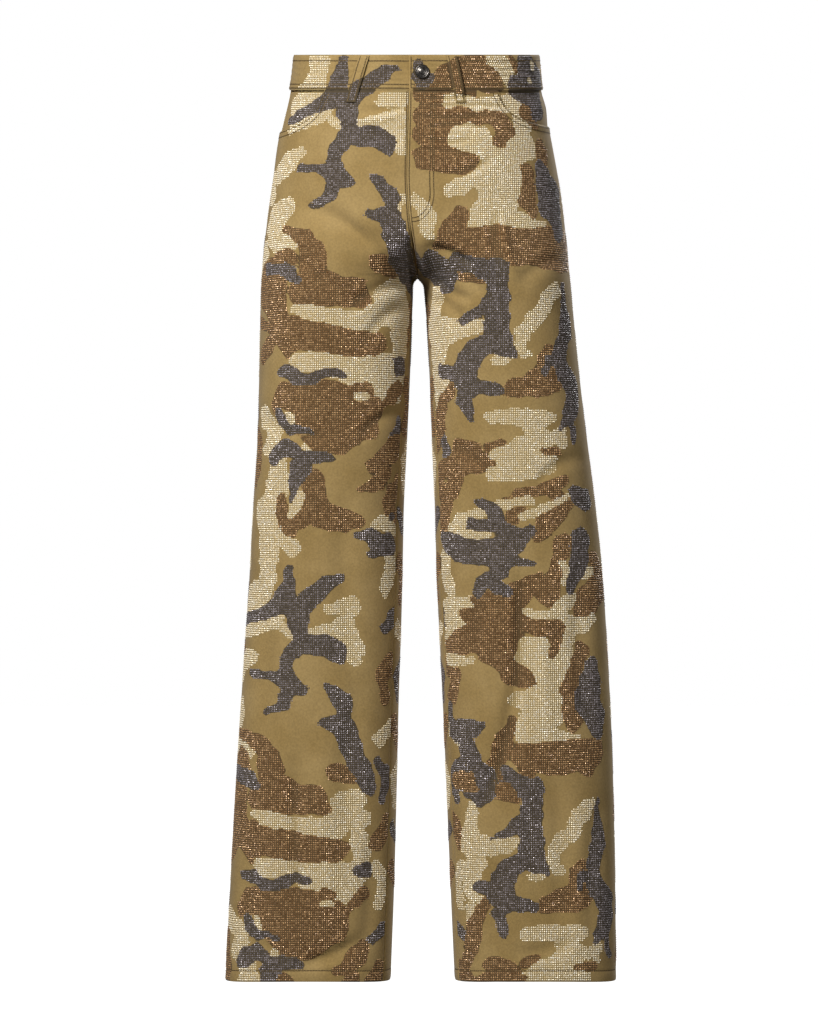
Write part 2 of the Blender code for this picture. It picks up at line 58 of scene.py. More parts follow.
@dataclass(frozen=True)
class Cloth:
    """Sizes of the cloth and its seams, as in the solids."""

    wall: float = 1.2 * MM
    gap: float = 0.3 * MM
    crotch: float = -266 * MM
    hem: float = -1094 * MM
    fork_height: float = 100 * MM
    fork_power: float = 0.75
    waist_tilt: float = 0.125
    tilt_ends: float = -240 * MM
    hem_droop: float = 5 * MM
    droop_starts: float = -900 * MM
    fullness: float = 2.3
    outseam: float = math.radians(-6)
    inseam_drift: float = 150 * MM
    fly_end: float = -195 * MM
    fly_fade: float = 30 * MM
    fly_width: float = 14 * MM
    fly_rise: float = 1.0 * MM
    fly_sink: float = 0.8 * MM
    band_height: float = 42 * MM
    yoke_side: float = -85 * MM
    yoke_centre: float = -118 * MM
    yoke_fade: float = -185 * MM
    scoop_power: float = 3.3
    facing_drop: float = 2.5 * MM
    underlap_drop: float = 2.4 * MM
    hem_depth: float = 13 * MM
    centre: float = -8.5 * MM

    @property
    def band_line(self) -> float:
        """Height of the seam under the waistband."""
        return -self.band_height - self.gap

    @property
    def fork_top(self) -> float:
        """Height at which the front and back reach past the body's middle in full."""
        return self.crotch + self.fork_height


CLOTH = Cloth()


class Side(Enum):
    """The wearer's side of the garment, with its sign along X."""

    RIGHT = -1
    LEFT = 1


class Face(Enum):
    """The front or the back of the garment."""

    FRONT = "front"
    BACK = "back"


@dataclass(frozen=True)
class LegSize:
    """What differs between the two legs."""

    name: str
    side: Side
    inseam_angle: float
    scoop_bottom: float
    scoop_width: float


RIGHT = LegSize("right", Side.RIGHT, math.radians(26), -91.6 * MM, 113 * MM)
LEFT = LegSize("left", Side.LEFT, math.radians(20), -86.0 * MM, 124 * MM)


@dataclass(frozen=True)
class Table:
    """Rows of millimetres, each a height and then a value for each name."""

    names: tuple[str, ...]
    rows: tuple[tuple[float, ...], ...]

    def at(self, name: str, height: Array) -> Array:
        """A column in metres at a height, along a curve without corners."""
        table = np.array(self.rows) * MM
        return smooth_curve(table[:, 0], table[:, 1 + self.names.index(name)], height)


# The side edges of the legs, and the cloth's reach before and behind
OUTLINE = Table(("right", "left", "front", "back"), (
    (0, -144.8, 146.2, 104, 104),
    (-42, -150.3, 150.6, 106, 108),
    (-65, -155.0, 156.6, 109, 113),
    (-89, -161.0, 158.8, 111, 119),
    (-113, -165.4, 163.0, 113, 124),
    (-150, -170.0, 169.6, 114, 129),
    (-200, -177.0, 176.4, 114, 128),
    (-250, -182.4, 181.4, 110, 116),
    (-300, -184.6, 186.0, 104, 103),
    (-400, -186.8, 196.2, 95, 91),
    (-470, -189.0, 204.9, 90, 87),
    (-541, -193.6, 213.8, 86, 84),
    (-613, -197.8, 221.3, 83, 82),
    (-684, -202.3, 226.2, 80, 80),
    (-827, -211.6, 233.4, 76, 78),
    (-970, -220.0, 236.8, 73, 77),
    (-1094, -227.0, 238.2, 72, 76),
))


# The inner edges of the two legs
INNER = Table(("right", "left"), (
    (-266, 2.0, 2.0),
    (-269, -1.5, 5.2),
    (-275, -3.6, 9.0),
    (-292, -3.9, 10.7),
    (-327, -4.9, 13.1),
    (-399, -7.6, 16.7),
    (-470, -10.9, 19.2),
    (-541, -14.3, 22.4),
    (-613, -15.7, 24.2),
    (-684, -17.5, 27.4),
    (-756, -20.0, 31.0),
    (-863, -22.5, 35.7),
    (-970, -25.2, 40.2),
    (-1094, -30.0, 45.8),
))


# The centre seam's place across the body
MIDDLE = Table(("x",), (
    (0, -8.5), (-42, -8.5), (-150, -10.5), (-195, -8.3), (-231, -4.0), (-266, 2.0),
))


@dataclass(frozen=True)
class Crease:
    """Millimetres seen from the front or back: a soft trough, or a ridge where its depth is negative.

    It runs from (x0, z0) to (x1, z1), bows sideways by bow in the middle and dies at its ends.
    """

    face: Face
    x0: float
    z0: float
    x1: float
    z1: float
    reach: float
    depth: float
    bow: float = 0.0


F = Face.FRONT
B = Face.BACK

# The largest folds, which the solids have too
FOLDS = tuple(Crease(*row) for row in (
    (F, -123, -187, -41, -235, 13, 3.0),
    (F, -97, -199, -25, -262, 12, 3.0),
    (F, 20, -238, 60, -257, 11, 4.0),
    (F, -136, -414, -136, -568, 15, -2.5),
    (F, 126, -635, 122, -765, 17, 4.0),
    (F, 121, -768, 86, -867, 16, 3.5),
    (F, -148, -856, -147, -995, 17, 4.0),
    (F, -128, -1073, -68, -1051, 12, 3.5),
    (B, -150, -300, -45, -330, 15, 3.5),
    (B, 150, -296, 50, -328, 15, 3.5),
    (B, -70, -560, -160, -600, 18, 3.0),
    (B, 85, -575, 190, -622, 18, 3.0),
    (B, -135, -760, -128, -960, 18, 3.5),
    (B, 140, -730, 148, -930, 18, 3.5),
))

# The charted depths are scaled so that the creases read under soft light: above this height, and below
LOWER_LEG = -400
DEPTH_SCALES = {F: (1.15, 1.35), B: (1.7, 1.7)}


def deepened(rows: tuple) -> tuple[Crease, ...]:
    """Creases from charted rows, their depths scaled."""
    found = []
    for face, x0, z0, x1, z1, reach, depth, bow in rows:
        scale = DEPTH_SCALES[face][z0 < LOWER_LEG]
        found.append(Crease(face, x0, z0, x1, z1, reach, depth * scale, bow))
    return tuple(found)


# Smaller creases, and similar ones where the photograph shows nothing
CREASES = deepened((
    (F, -6, -226, -2, -274, 4, 3.4, 2),
    (F, 5, -226, 13, -266, 5, -2.4, 1),
    (F, 14, -236, 62, -256, 6, 3.6, -3),
    (F, 30, -224, 76, -246, 8, -1.6, 3),
    (F, 26, -274, 60, -296, 6, 3.8, 4),
    (F, 22, -292, 52, -320, 7, 3.2, -3),
    (F, 60, -266, 90, -294, 7, 2.2, 3),
    (F, -20, -278, -76, -306, 7, 3.0, 5),
    (F, -18, -300, -60, -346, 8, 2.6, 4),
    (F, -124, -190, -44, -240, 9, 3.6, -5),
    (F, -74, -196, -30, -248, 8, -2.4, 3),
    (F, -44, -218, -22, -262, 6, 2.4, 2),
    (F, -62, -78, -20, -75, 3.5, 2.2, 1),
    (F, -66, -88, -26, -84, 4, -1.6, 1),
    (F, -60, -104, -24, -112, 6, 1.8, -2),
    (F, 12, -62, 62, -60, 3, 1.4, 1),
    (F, 18, -72, 100, -70, 3.5, 1.6, -2),
    (F, 8, -84, 76, -82, 4, 2.0, 2),
    (F, 20, -95, 88, -97, 4, 2.2, -3),
    (F, 8, -108, 56, -112, 4, 1.8, 3),
    (F, 4, -122, 64, -128, 5, 1.5, -2),
    (F, 26, -152, 80, -136, 6, 2.6, 4),
    (F, 98, -208, 114, -266, 6, -3.0, 2),
    (F, 88, -206, 98, -262, 7, 2.4, 2),
    (F, -150, -248, -106, -276, 9, 2.8, -4),
    (F, 168, -246, 124, -276, 9, 2.6, 4),
    (F, -180, -430, -114, -456, 10, 2.4, 6),
    (F, -64, -454, -22, -426, 8, 2.4, -4),
    (F, 190, -480, 142, -510, 9, 2.6, 5),
    (F, 42, -466, 90, -500, 8, 2.2, -5),
    (F, -82, -540, -74, -740, 14, 3.0, 6),
    (F, -186, -620, -178, -810, 13, 2.6, -6),
    (F, -70, -760, -78, -930, 13, 2.8, 6),
    (F, 70, -540, 62, -720, 12, 2.6, -6),
    (F, 120, -628, 114, -766, 8, 4.4, -3),
    (F, 112, -762, 84, -878, 8, 3.8, -3),
    (F, 148, -650, 152, -810, 13, -2.4, 5),
    (F, 192, -610, 202, -790, 12, 3.0, 6),
    (F, 160, -850, 168, -1030, 14, 3.2, -8),
    (F, 124, -880, 132, -1020, 12, -2.2, 5),
    (F, 212, -900, 208, -1040, 10, 2.2, 5),
    (F, -141, -840, -138, -1000, 8, 3.2, 4),
    (F, -110, -820, -104, -1010, 14, -2.4, 5),
    (F, -194, -940, -190, -1080, 11, 2.6, 4),
    (F, -54, -930, -60, -1060, 10, 2.4, -4),
    (F, 96, -950, 92, -1086, 12, 2.8, 5),
    (F, -130, -1072, -72, -1050, 6, 2.8, 3),
    (F, -182, -1048, -146, -1068, 8, 2.2, 3),
    (F, 120, -1062, 178, -1046, 9, 2.2, 4),
    (B, -120, -256, -60, -276, 8, 1.4, 5),
    (B, 122, -254, 64, -274, 8, 1.4, -5),
    (B, -96, -286, -34, -296, 7, 1.4, 4),
    (B, 96, -284, 38, -296, 7, 1.4, -4),
    (B, -170, -470, -110, -500, 11, 1.4, 6),
    (B, 182, -474, 120, -508, 11, 1.4, -6),
    (B, -60, -500, -110, -540, 10, 1.2, 5),
    (B, 70, -508, 126, -548, 10, 1.2, -5),
    (B, -176, -640, -120, -664, 11, 1.2, 6),
    (B, 200, -650, 140, -676, 11, 1.2, -6),
    (B, -80, -700, -86, -860, 14, 1.3, 6),
    (B, 84, -700, 90, -850, 14, 1.3, -6),
    (B, -190, -820, -186, -980, 13, 1.3, -6),
    (B, 206, -820, 204, -990, 13, 1.3, 6),
    (B, -110, -1060, -60, -1046, 9, 1.2, 3),
    (B, 110, -1062, 170, -1048, 9, 1.2, 3),
    (B, -60, -70, -30, -78, 6, 0.8, 2),
    (B, 40, -72, 70, -64, 6, 0.8, 2),
))


# ---- curves, tables and vectors

def pair(u: Array | float, height: Array | float) -> Array:
    """(u, height) pairs on a new last axis, from values of any shapes that fit one another."""
    return np.stack(np.broadcast_arrays(u, height), axis=-1)


def unit(vectors: Array) -> Array:
    """Vectors with their length made one."""
    return vectors / np.linalg.norm(vectors, axis=-1, keepdims=True)


def running(line: Array) -> Array:
    """How far along a line of points each of them lies."""
    return np.concatenate([[0], np.cumsum(np.linalg.norm(np.diff(line, axis=0), axis=1))])


def between(table: Array, row: Array, column: Array) -> Array:
    """A table read at rows and columns with fractions, straight between its entries."""
    r = np.minimum(row.astype(int), table.shape[0] - 2)
    c = np.minimum(column.astype(int), table.shape[1] - 2)
    extra = (1,) * (table.ndim - 2)
    down = (row - r).reshape(row.shape + extra)
    part = (column - c).reshape(column.shape + extra)
    low = table[r, c] * (1 - part) + table[r, c + 1] * part
    high = table[r + 1, c] * (1 - part) + table[r + 1, c + 1] * part
    return low * (1 - down) + high * down



def smooth_curve(knots: Array, values: Array, place: Array) -> Array:
    """Read a curve through knots that has no corners and never overshoots a value.

    Each stretch is a cubic whose end slopes are the harmonic means of the slopes beside them.

    Args:
        knots: Places of the values.
        values: Values at the knots.
        place: Where to read it.

    Returns:
        The curve's value at each place.
    """
    order = np.argsort(knots)
    knots = knots[order]
    values = values[order]
    step = np.diff(knots)
    slope = np.diff(values) / step
    both = slope[:-1] * slope[1:]
    total = slope[:-1] + slope[1:]
    tangent = np.empty_like(values)
    tangent[0] = slope[0]
    tangent[-1] = slope[-1]
    tangent[1:-1] = np.where(both > 0, 2 * both / np.where(both > 0, total, 1), 0)
    place = np.clip(place, knots[0], knots[-1])
    k = np.clip(np.searchsorted(knots, place) - 1, 0, len(step) - 1)
    t = (place - knots[k]) / step[k]
    bend = t * t * (3 - 2 * t)
    start = t * (1 - t) * (1 - t) * tangent[k] * step[k]
    end = t * t * (1 - t) * tangent[k + 1] * step[k]
    return values[k] * (1 - bend) + values[k + 1] * bend + start - end


def smooth_step(value: Array) -> Array:
    """Rise softly from 0 to 1 as the value does."""
    value = np.clip(value, 0, 1)
    return value * value * (3 - 2 * value)


def bell(distance: Array, reach: float) -> Array:
    """A soft bump of height 1 that falls to about a third at the reach."""
    return np.exp(-((distance / reach) ** 2))


def hashed(*values: Array) -> Array:
    """A steady pseudo-random number from 0 to 1 for each set of values: the fraction of a sine."""
    mixed = sum(value * scale for value, scale in zip(values, (12.9898, 78.233, 37.719)))
    return np.mod(np.sin(mixed) * 43758.5453, 1.0)


# ---- the surface of one half

class Half:
    """One half of the garment: its leg and the side of the hips above it."""

    NORMAL_TURN = 0.02
    NORMAL_DROP = 0.5 * MM

    def __init__(self, size: LegSize) -> None:
        """Keep the leg's sizes."""
        self.size = size
        self.sign = size.side.value

    def fork_reach(self, height: Array) -> Array:
        """How far the section reaches past the middle: 0 at the crotch, 1 at the hips."""
        return smooth_step((height - CLOTH.crotch) / CLOTH.fork_height) ** CLOTH.fork_power

    def middle(self, height: Array) -> Array:
        """The centre seam's place, half a gap to this half's side."""
        return MIDDLE.at("x", height) + self.sign * CLOTH.gap / 2

    def section(self, height: Array) -> tuple[Array, Array]:
        """Centre and half width of the section at a height, both with the leg's sign."""
        outer = OUTLINE.at(self.size.name, height)
        middle = self.middle(height)
        past = middle - self.fork_reach(height) * (outer - middle)
        own = INNER.at(self.size.name, height) + self.sign * CLOTH.gap / 2
        inner = np.where(height > CLOTH.crotch, past, own)
        return (outer + inner) / 2, (outer - inner) / 2

    def plain_point(self, angle: Array, height: Array) -> Array:
        """A point before its folds: a rounded oval, tilted at the waist, lower inside the hem.

        Args:
            angle: 0 at the side, a quarter turn at the front, minus a quarter turn behind.
            height: Height down the side line.

        Returns:
            Points with a last axis of three.
        """
        centre, half = self.section(height)
        c = np.cos(angle)
        s = np.sin(angle)
        power = 2 / CLOTH.fullness
        x = centre + half * np.sign(c) * np.abs(c) ** power
        front = OUTLINE.at("front", height)
        back = OUTLINE.at("back", height)
        y = -np.where(s > 0, front, back) * np.sign(s) * np.abs(s) ** power
        tilt = CLOTH.waist_tilt * smooth_step((height - CLOTH.tilt_ends) / -CLOTH.tilt_ends)
        low = smooth_step((CLOTH.droop_starts - height) / (CLOTH.droop_starts - CLOTH.hem))
        return np.stack([x, y, height + tilt * y - CLOTH.hem_droop * low * c * c], axis=-1)

    def plain_normal(self, angle: Array, height: Array) -> Array:
        """The outward direction, from small steps round and down the surface."""
        ahead = self.plain_point(angle + self.NORMAL_TURN, height)
        behind = self.plain_point(angle - self.NORMAL_TURN, height)
        below = self.plain_point(angle, height - self.NORMAL_DROP)
        above = self.plain_point(angle, height + self.NORMAL_DROP)
        return unit(np.cross(ahead - behind, below - above) * self.sign)

    def fly(self, point: Array, angle: Array, height: Array) -> Array:
        """The lapped edge at the centre front: the left one rises and the right one sinks."""
        distance = np.abs(point[..., 0] - self.middle(height))
        near = smooth_step(1 - distance / CLOTH.fly_width)
        above = smooth_step((height - CLOTH.fly_end) / CLOTH.fly_fade)
        amount = CLOTH.fly_rise if self.size is LEFT else -CLOTH.fly_sink
        return amount * near * above * (np.sin(angle) > 0)

    def cloth_point(self, angle: Array, height: Array, lift: Array | float = 0.0) -> Array:
        """A point on the cloth with its folds, creases and lapped fly, moved out by the lift."""
        point = self.plain_point(angle, height)
        normal = self.plain_normal(angle, height)
        out = lift - crease_depth(point, angle) + self.fly(point, angle, height)
        return point + normal * np.asarray(out)[..., None]

    def middle_angle(self, height: Array) -> Array:
        """The angle at which the section meets the centre seam above the crotch."""
        reach = self.fork_reach(height)
        ratio = (1 - reach) / (1 + reach)
        return math.pi - np.arccos(ratio ** (CLOTH.fullness / 2))

    def inner_angle(self, height: Array, face: Face) -> Array:
        """The angle of the centre seam or, below the crotch, of the inseam."""
        drift = smooth_step((CLOTH.crotch - height) / CLOTH.inseam_drift)
        inseam = self.size.inseam_angle * drift
        if face is Face.BACK:
            return np.where(height > CLOTH.crotch, -self.middle_angle(height), -math.pi - inseam)
        return np.where(height > CLOTH.crotch, self.middle_angle(height), math.pi - inseam)

    def angle_at_x(self, x: Array, height: Array, face: Face) -> Array:
        """The angle at which a section stands at a place across the body."""
        centre, half = self.section(height)
        ratio = np.clip((x - centre) / half, -1, 1)
        angle = np.arccos(np.sign(ratio) * np.abs(ratio) ** (CLOTH.fullness / 2))
        return -angle if face is Face.BACK else angle


def crease_depth(point: Array, angle: Array) -> Array:
    """How far the creases press the cloth in: a bell across each bowed line that dies at its ends.

    Args:
        point: Points before their folds.
        angle: Their angles round the section, which tell front from back.

    Returns:
        The depth at each point, below 0 on a ridge.
    """
    x = point[..., 0]
    z = point[..., 2]
    front = np.sin(angle) > 0
    depth = np.zeros_like(x)
    for crease in FOLDS + CREASES:
        along_x = (crease.x1 - crease.x0) * MM
        along_z = (crease.z1 - crease.z0) * MM
        length = math.hypot(along_x, along_z)
        dx = x - crease.x0 * MM
        dz = z - crease.z0 * MM
        travel = (dx * along_x + dz * along_z) / length ** 2
        across = (dx * along_z - dz * along_x) / length
        across = across - crease.bow * MM * 4 * travel * (1 - travel)
        fade = smooth_step(0.5 + 2 * travel) * smooth_step(2.5 - 2 * travel)
        here = front if crease.face is Face.FRONT else ~front
        depth += here * crease.depth * MM * bell(across, crease.reach * MM) * fade
    return depth


class Chart:
    """One face of a half, laid flat: length along the cloth from the inner seam, and height.

    It keeps a table of angles at even shares of that length, read with straight lines between.
    """

    SHARES = 161
    SAMPLES = 321

    def __init__(self, half: Half, face: Face) -> None:
        """Walk every section of the table from the inner seam to the side seam."""
        self.half = half
        self.face = face
        self.turn = -1 if face is Face.FRONT else 1
        self.heights = np.unique(np.concatenate([
            np.linspace(CLOTH.hem - 8 * MM, CLOTH.crotch - 1e-6, 230),
            CLOTH.crotch + CLOTH.fork_height * np.linspace(0, 1, 61) ** 2,
            np.linspace(CLOTH.fork_top, 4 * MM, 50),
        ]))
        start = half.inner_angle(self.heights, face)[:, None]
        angles = start + (CLOTH.outseam - start) * np.linspace(0, 1, self.SAMPLES)
        points = half.plain_point(angles, self.heights[:, None] + 0 * angles)
        arcs = np.array([running(line) for line in points])
        self.lengths = arcs[:, -1]
        shares = np.linspace(0, 1, self.SHARES)
        self.angles = np.stack([np.interp(shares * arc[-1], arc, row) for arc, row in zip(arcs, angles)])
        self.quarters = np.array([np.interp(-math.pi / 2, row * self.turn, arc)
                                  for arc, row in zip(arcs, angles)])

    def length(self, height: Array) -> Array:
        """The cloth's length from the inner seam to the side seam at a height."""
        return np.interp(height, self.heights, self.lengths)

    def spread(self, share: Array, height: Array) -> Array:
        """(u, height) pairs at shares of the length, half a gap off both seams."""
        return pair(CLOTH.gap / 2 + share * (self.length(height) - CLOTH.gap), height)

    def quarter(self, height: Array) -> Array:
        """How far from the inner seam the section's front or back line lies."""
        return np.interp(height, self.heights, self.quarters)

    def angle(self, u: Array, height: Array) -> Array:
        """The angle at a length along the cloth and a height, both read from the table."""
        u, height = np.broadcast_arrays(u, height)
        share = np.clip(u / self.length(height), 0, 1) * (self.SHARES - 1)
        return between(self.angles, np.interp(height, self.heights, np.arange(len(self.heights))), share)

    def across(self, u: Array, height: Array) -> Array:
        """A length from the inner seam as a place across the camouflage's own plane.

        It is the section's centre plus the signed length from the front or back line, so that a
        shape keeps its size where the cloth turns away to the side.
        """
        return self.half.section(height)[0] + self.half.sign * (u - self.quarter(height))

    def unroll(self, x: Array, z: Array) -> Array:
        """Where points seen from the front or back lie across the camouflage's own plane.

        Args:
            x: Places across the body.
            z: Heights.

        Returns:
            Places across the plane; one past the silhouette keeps its distance from it.
        """
        height = z.copy()
        for _ in range(2):
            seen = self.half.plain_point(self.half.angle_at_x(x, height, self.face), height)
            height = height + z - seen[:, 2]
        centre, wide = self.half.section(height)
        angle = self.half.angle_at_x(x, height, self.face) * self.turn
        row = np.clip(np.searchsorted(self.heights, height), 0, len(self.heights) - 1)
        table = self.angles[row] * self.turn
        k = np.clip((table < angle[:, None]).sum(axis=1) - 1, 0, self.SHARES - 2)
        index = np.arange(len(k))
        part = (angle - table[index, k]) / (table[index, k + 1] - table[index, k])
        u = (k + np.clip(part, 0, 1)) / (self.SHARES - 1) * self.length(height)
        beyond = np.maximum(np.abs(x - centre) - np.abs(wide), 0) * np.sign(x - centre)
        return self.across(u, height) + beyond

    def from_seam(self, away: Array, height: Array, seam: int) -> Array:
        """Places across the plane at a distance from the side seam, 1, or the inner one, -1."""
        return self.across(self.length(height) - away if seam > 0 else away, height)


# ---- the camouflage

class Paint(Enum):
    """The three colours laid on the khaki cloth in rhinestones."""

    CREAM = 0
    BROWN = 1
    DARK = 2


@dataclass(frozen=True)
class Stroke:
    """One brush stroke: millimetre points (across, up, half width) joined by tapering lines."""

    paint: Paint
    line: tuple[tuple[float, ...], ...]


# Woodland camouflage, given as a chart. Each row is one patch: its paint, then its points as across,
# height and half width in millimetres, seen from the front. A later row lies over an earlier one.
RIGHT_CHART = """
cream -111 -12 13, -112 -30 13, -116 -42 13, -128 -54 12, -142 -66 9
cream -100 -77 4, -112 -84 7, -130 -88 7, -146 -93 6
cream -100 -86 6, -92 -92 7, -86 -97 5
cream -134 -122 6, -143 -129 9, -152 -138 10, -160 -147 8
cream -164 -150 6, -166 -172 7
cream -149 -182 7, -153 -190 11, -163 -199 11, -166 -212 11, -160 -226 12, -145 -230 8
cream -173 -240 10, -178 -256 10, -178 -270 9
cream -40 -66 7, -29 -65 10, -16 -64 13
cream -65 -93 6, -52 -91 8, -38 -89 10, -22 -88 14
cream -20 -100 13, -13 -113 13, -13 -123 9
brown -155 -213 4, -144 -217 6, -130 -226 10, -122 -240 15, -120 -256 18
brown -150 -250 13, -158 -262 16, -166 -278 18
brown -105 -278 16, -130 -286 20, -98 -288 18, -74 -288 18, -62 -296 12, -54 -307 4
brown -162 -292 20, -158 -318 11, -155 -340 9, -151 -362 4
brown -182 -318 4, -168 -330 5, -160 -340 6
brown -162 -338 5, -172 -350 8, -178 -361 7
brown -45 -256 10, -33 -258 11, -24 -262 9
dark -174 -259 5, -158 -260 6, -146 -266 8, -140 -273 6
cream -38 -293 13, -24 -290 15
cream -52 -319 12, -36 -310 16, -20 -312 14
cream -22 -336 13, -18 -352 11
cream -75 -372 14, -52 -375 18, -35 -381 17, -20 -372 13
cream -90 -378 13, -60 -390 10, -38 -398 14, -50 -408 8
cream -141 -368 9, -126 -369 12, -104 -368 9, -88 -370 13
brown -146 -328 12, -122 -338 18, -95 -342 19, -70 -346 17, -50 -348 14, -42 -346 10
brown -142 -344 13
cream -143 -307 5, -130 -311 8, -110 -315 9, -90 -318 9, -65 -321 11, -48 -323 12
brown -152 -408 15, -130 -411 19, -100 -412 21, -70 -418 19, -54 -426 17
brown -163 -420 8
brown -125 -440 20, -95 -445 26, -62 -440 21
brown -118 -462 13, -90 -461 16, -68 -452 13
brown -65 -399 7, -54 -401 5
brown -20 -399 9, -28 -408 7, -38 -418 4
dark -160 -380 5, -148 -380 7, -138 -388 9, -124 -390 7, -112 -385 7, -99 -381 6, -84 -384 4
dark -15 -372 9, -22 -373 8
cream -69 -410 4, -58 -409 4
cream -178 -430 8, -170 -441 8, -165 -454 9, -172 -468 9
cream -160 -488 11, -160 -508 16, -166 -528 15, -174 -545 16, -170 -565 17, -171 -588 15, -174 -608 12
cream -150 -576 11, -143 -588 9
cream -50 -560 7, -40 -556 8, -26 -564 8
brown -184 -455 8, -182 -470 6, -184 -490 9, -186 -506 6
brown -158 -528 5, -157 -546 8, -150 -560 10, -142 -568 6
brown -122 -506 15, -118 -521 13, -120 -541 18, -100 -551 16, -82 -553 14, -70 -554 9
brown -136 -552 11
brown -23 -460 7, -31 -473 12, -44 -486 10, -55 -491 6
brown -36 -496 8, -42 -506 10, -56 -515 6, -66 -518 4
cream -148 -434 7, -145 -441 5
cream -129 -468 4, -126 -473 4
cream -134 -527 7, -142 -538 9, -145 -547 6
dark -161 -428 5, -157 -440 6, -148 -448 6, -134 -447 5, -124 -452 4
dark -166 -480 8, -160 -473 9, -150 -468 9, -139 -473 7
dark -131 -481 10, -115 -480 7, -98 -481 5
dark -134 -491 12, -140 -505 9, -142 -518 6, -147 -531 3
dark -67 -571 5, -55 -571 9, -45 -582 10, -32 -582 11, -51 -593 6
dark -29 -550 4
dark -84 -19 6, -87 -35 9, -91 -48 12, -97 -60 13, -110 -66 9, -125 -72 6, -140 -79 5, -150 -83 4
dark -23 -28 4, -36 -33 9, -48 -41 10, -57 -48 10, -66 -56 11, -74 -64 12
dark -79 -66 12, -80 -79 13, -78 -91 11, -75 -101 11
dark -76 -107 10, -60 -108 12, -45 -109 13, -35 -116 13, -32 -122 9
dark -84 -110 10, -92 -122 10, -95 -134 9, -97 -146 11
dark -138 -142 3, -118 -143 5, -104 -147 9
dark -97 -150 12, -86 -157 11, -78 -160 8
dark -97 -165 9, -99 -175 8, -108 -180 6, -122 -187 4
dark -50 -157 5, -41 -163 8, -32 -173 11, -28 -185 10
dark -57 -197 4, -45 -199 9, -32 -201 13, -27 -213 14, -24 -229 14, -18 -246 13, -11 -260 11, -6 -277 8
"""

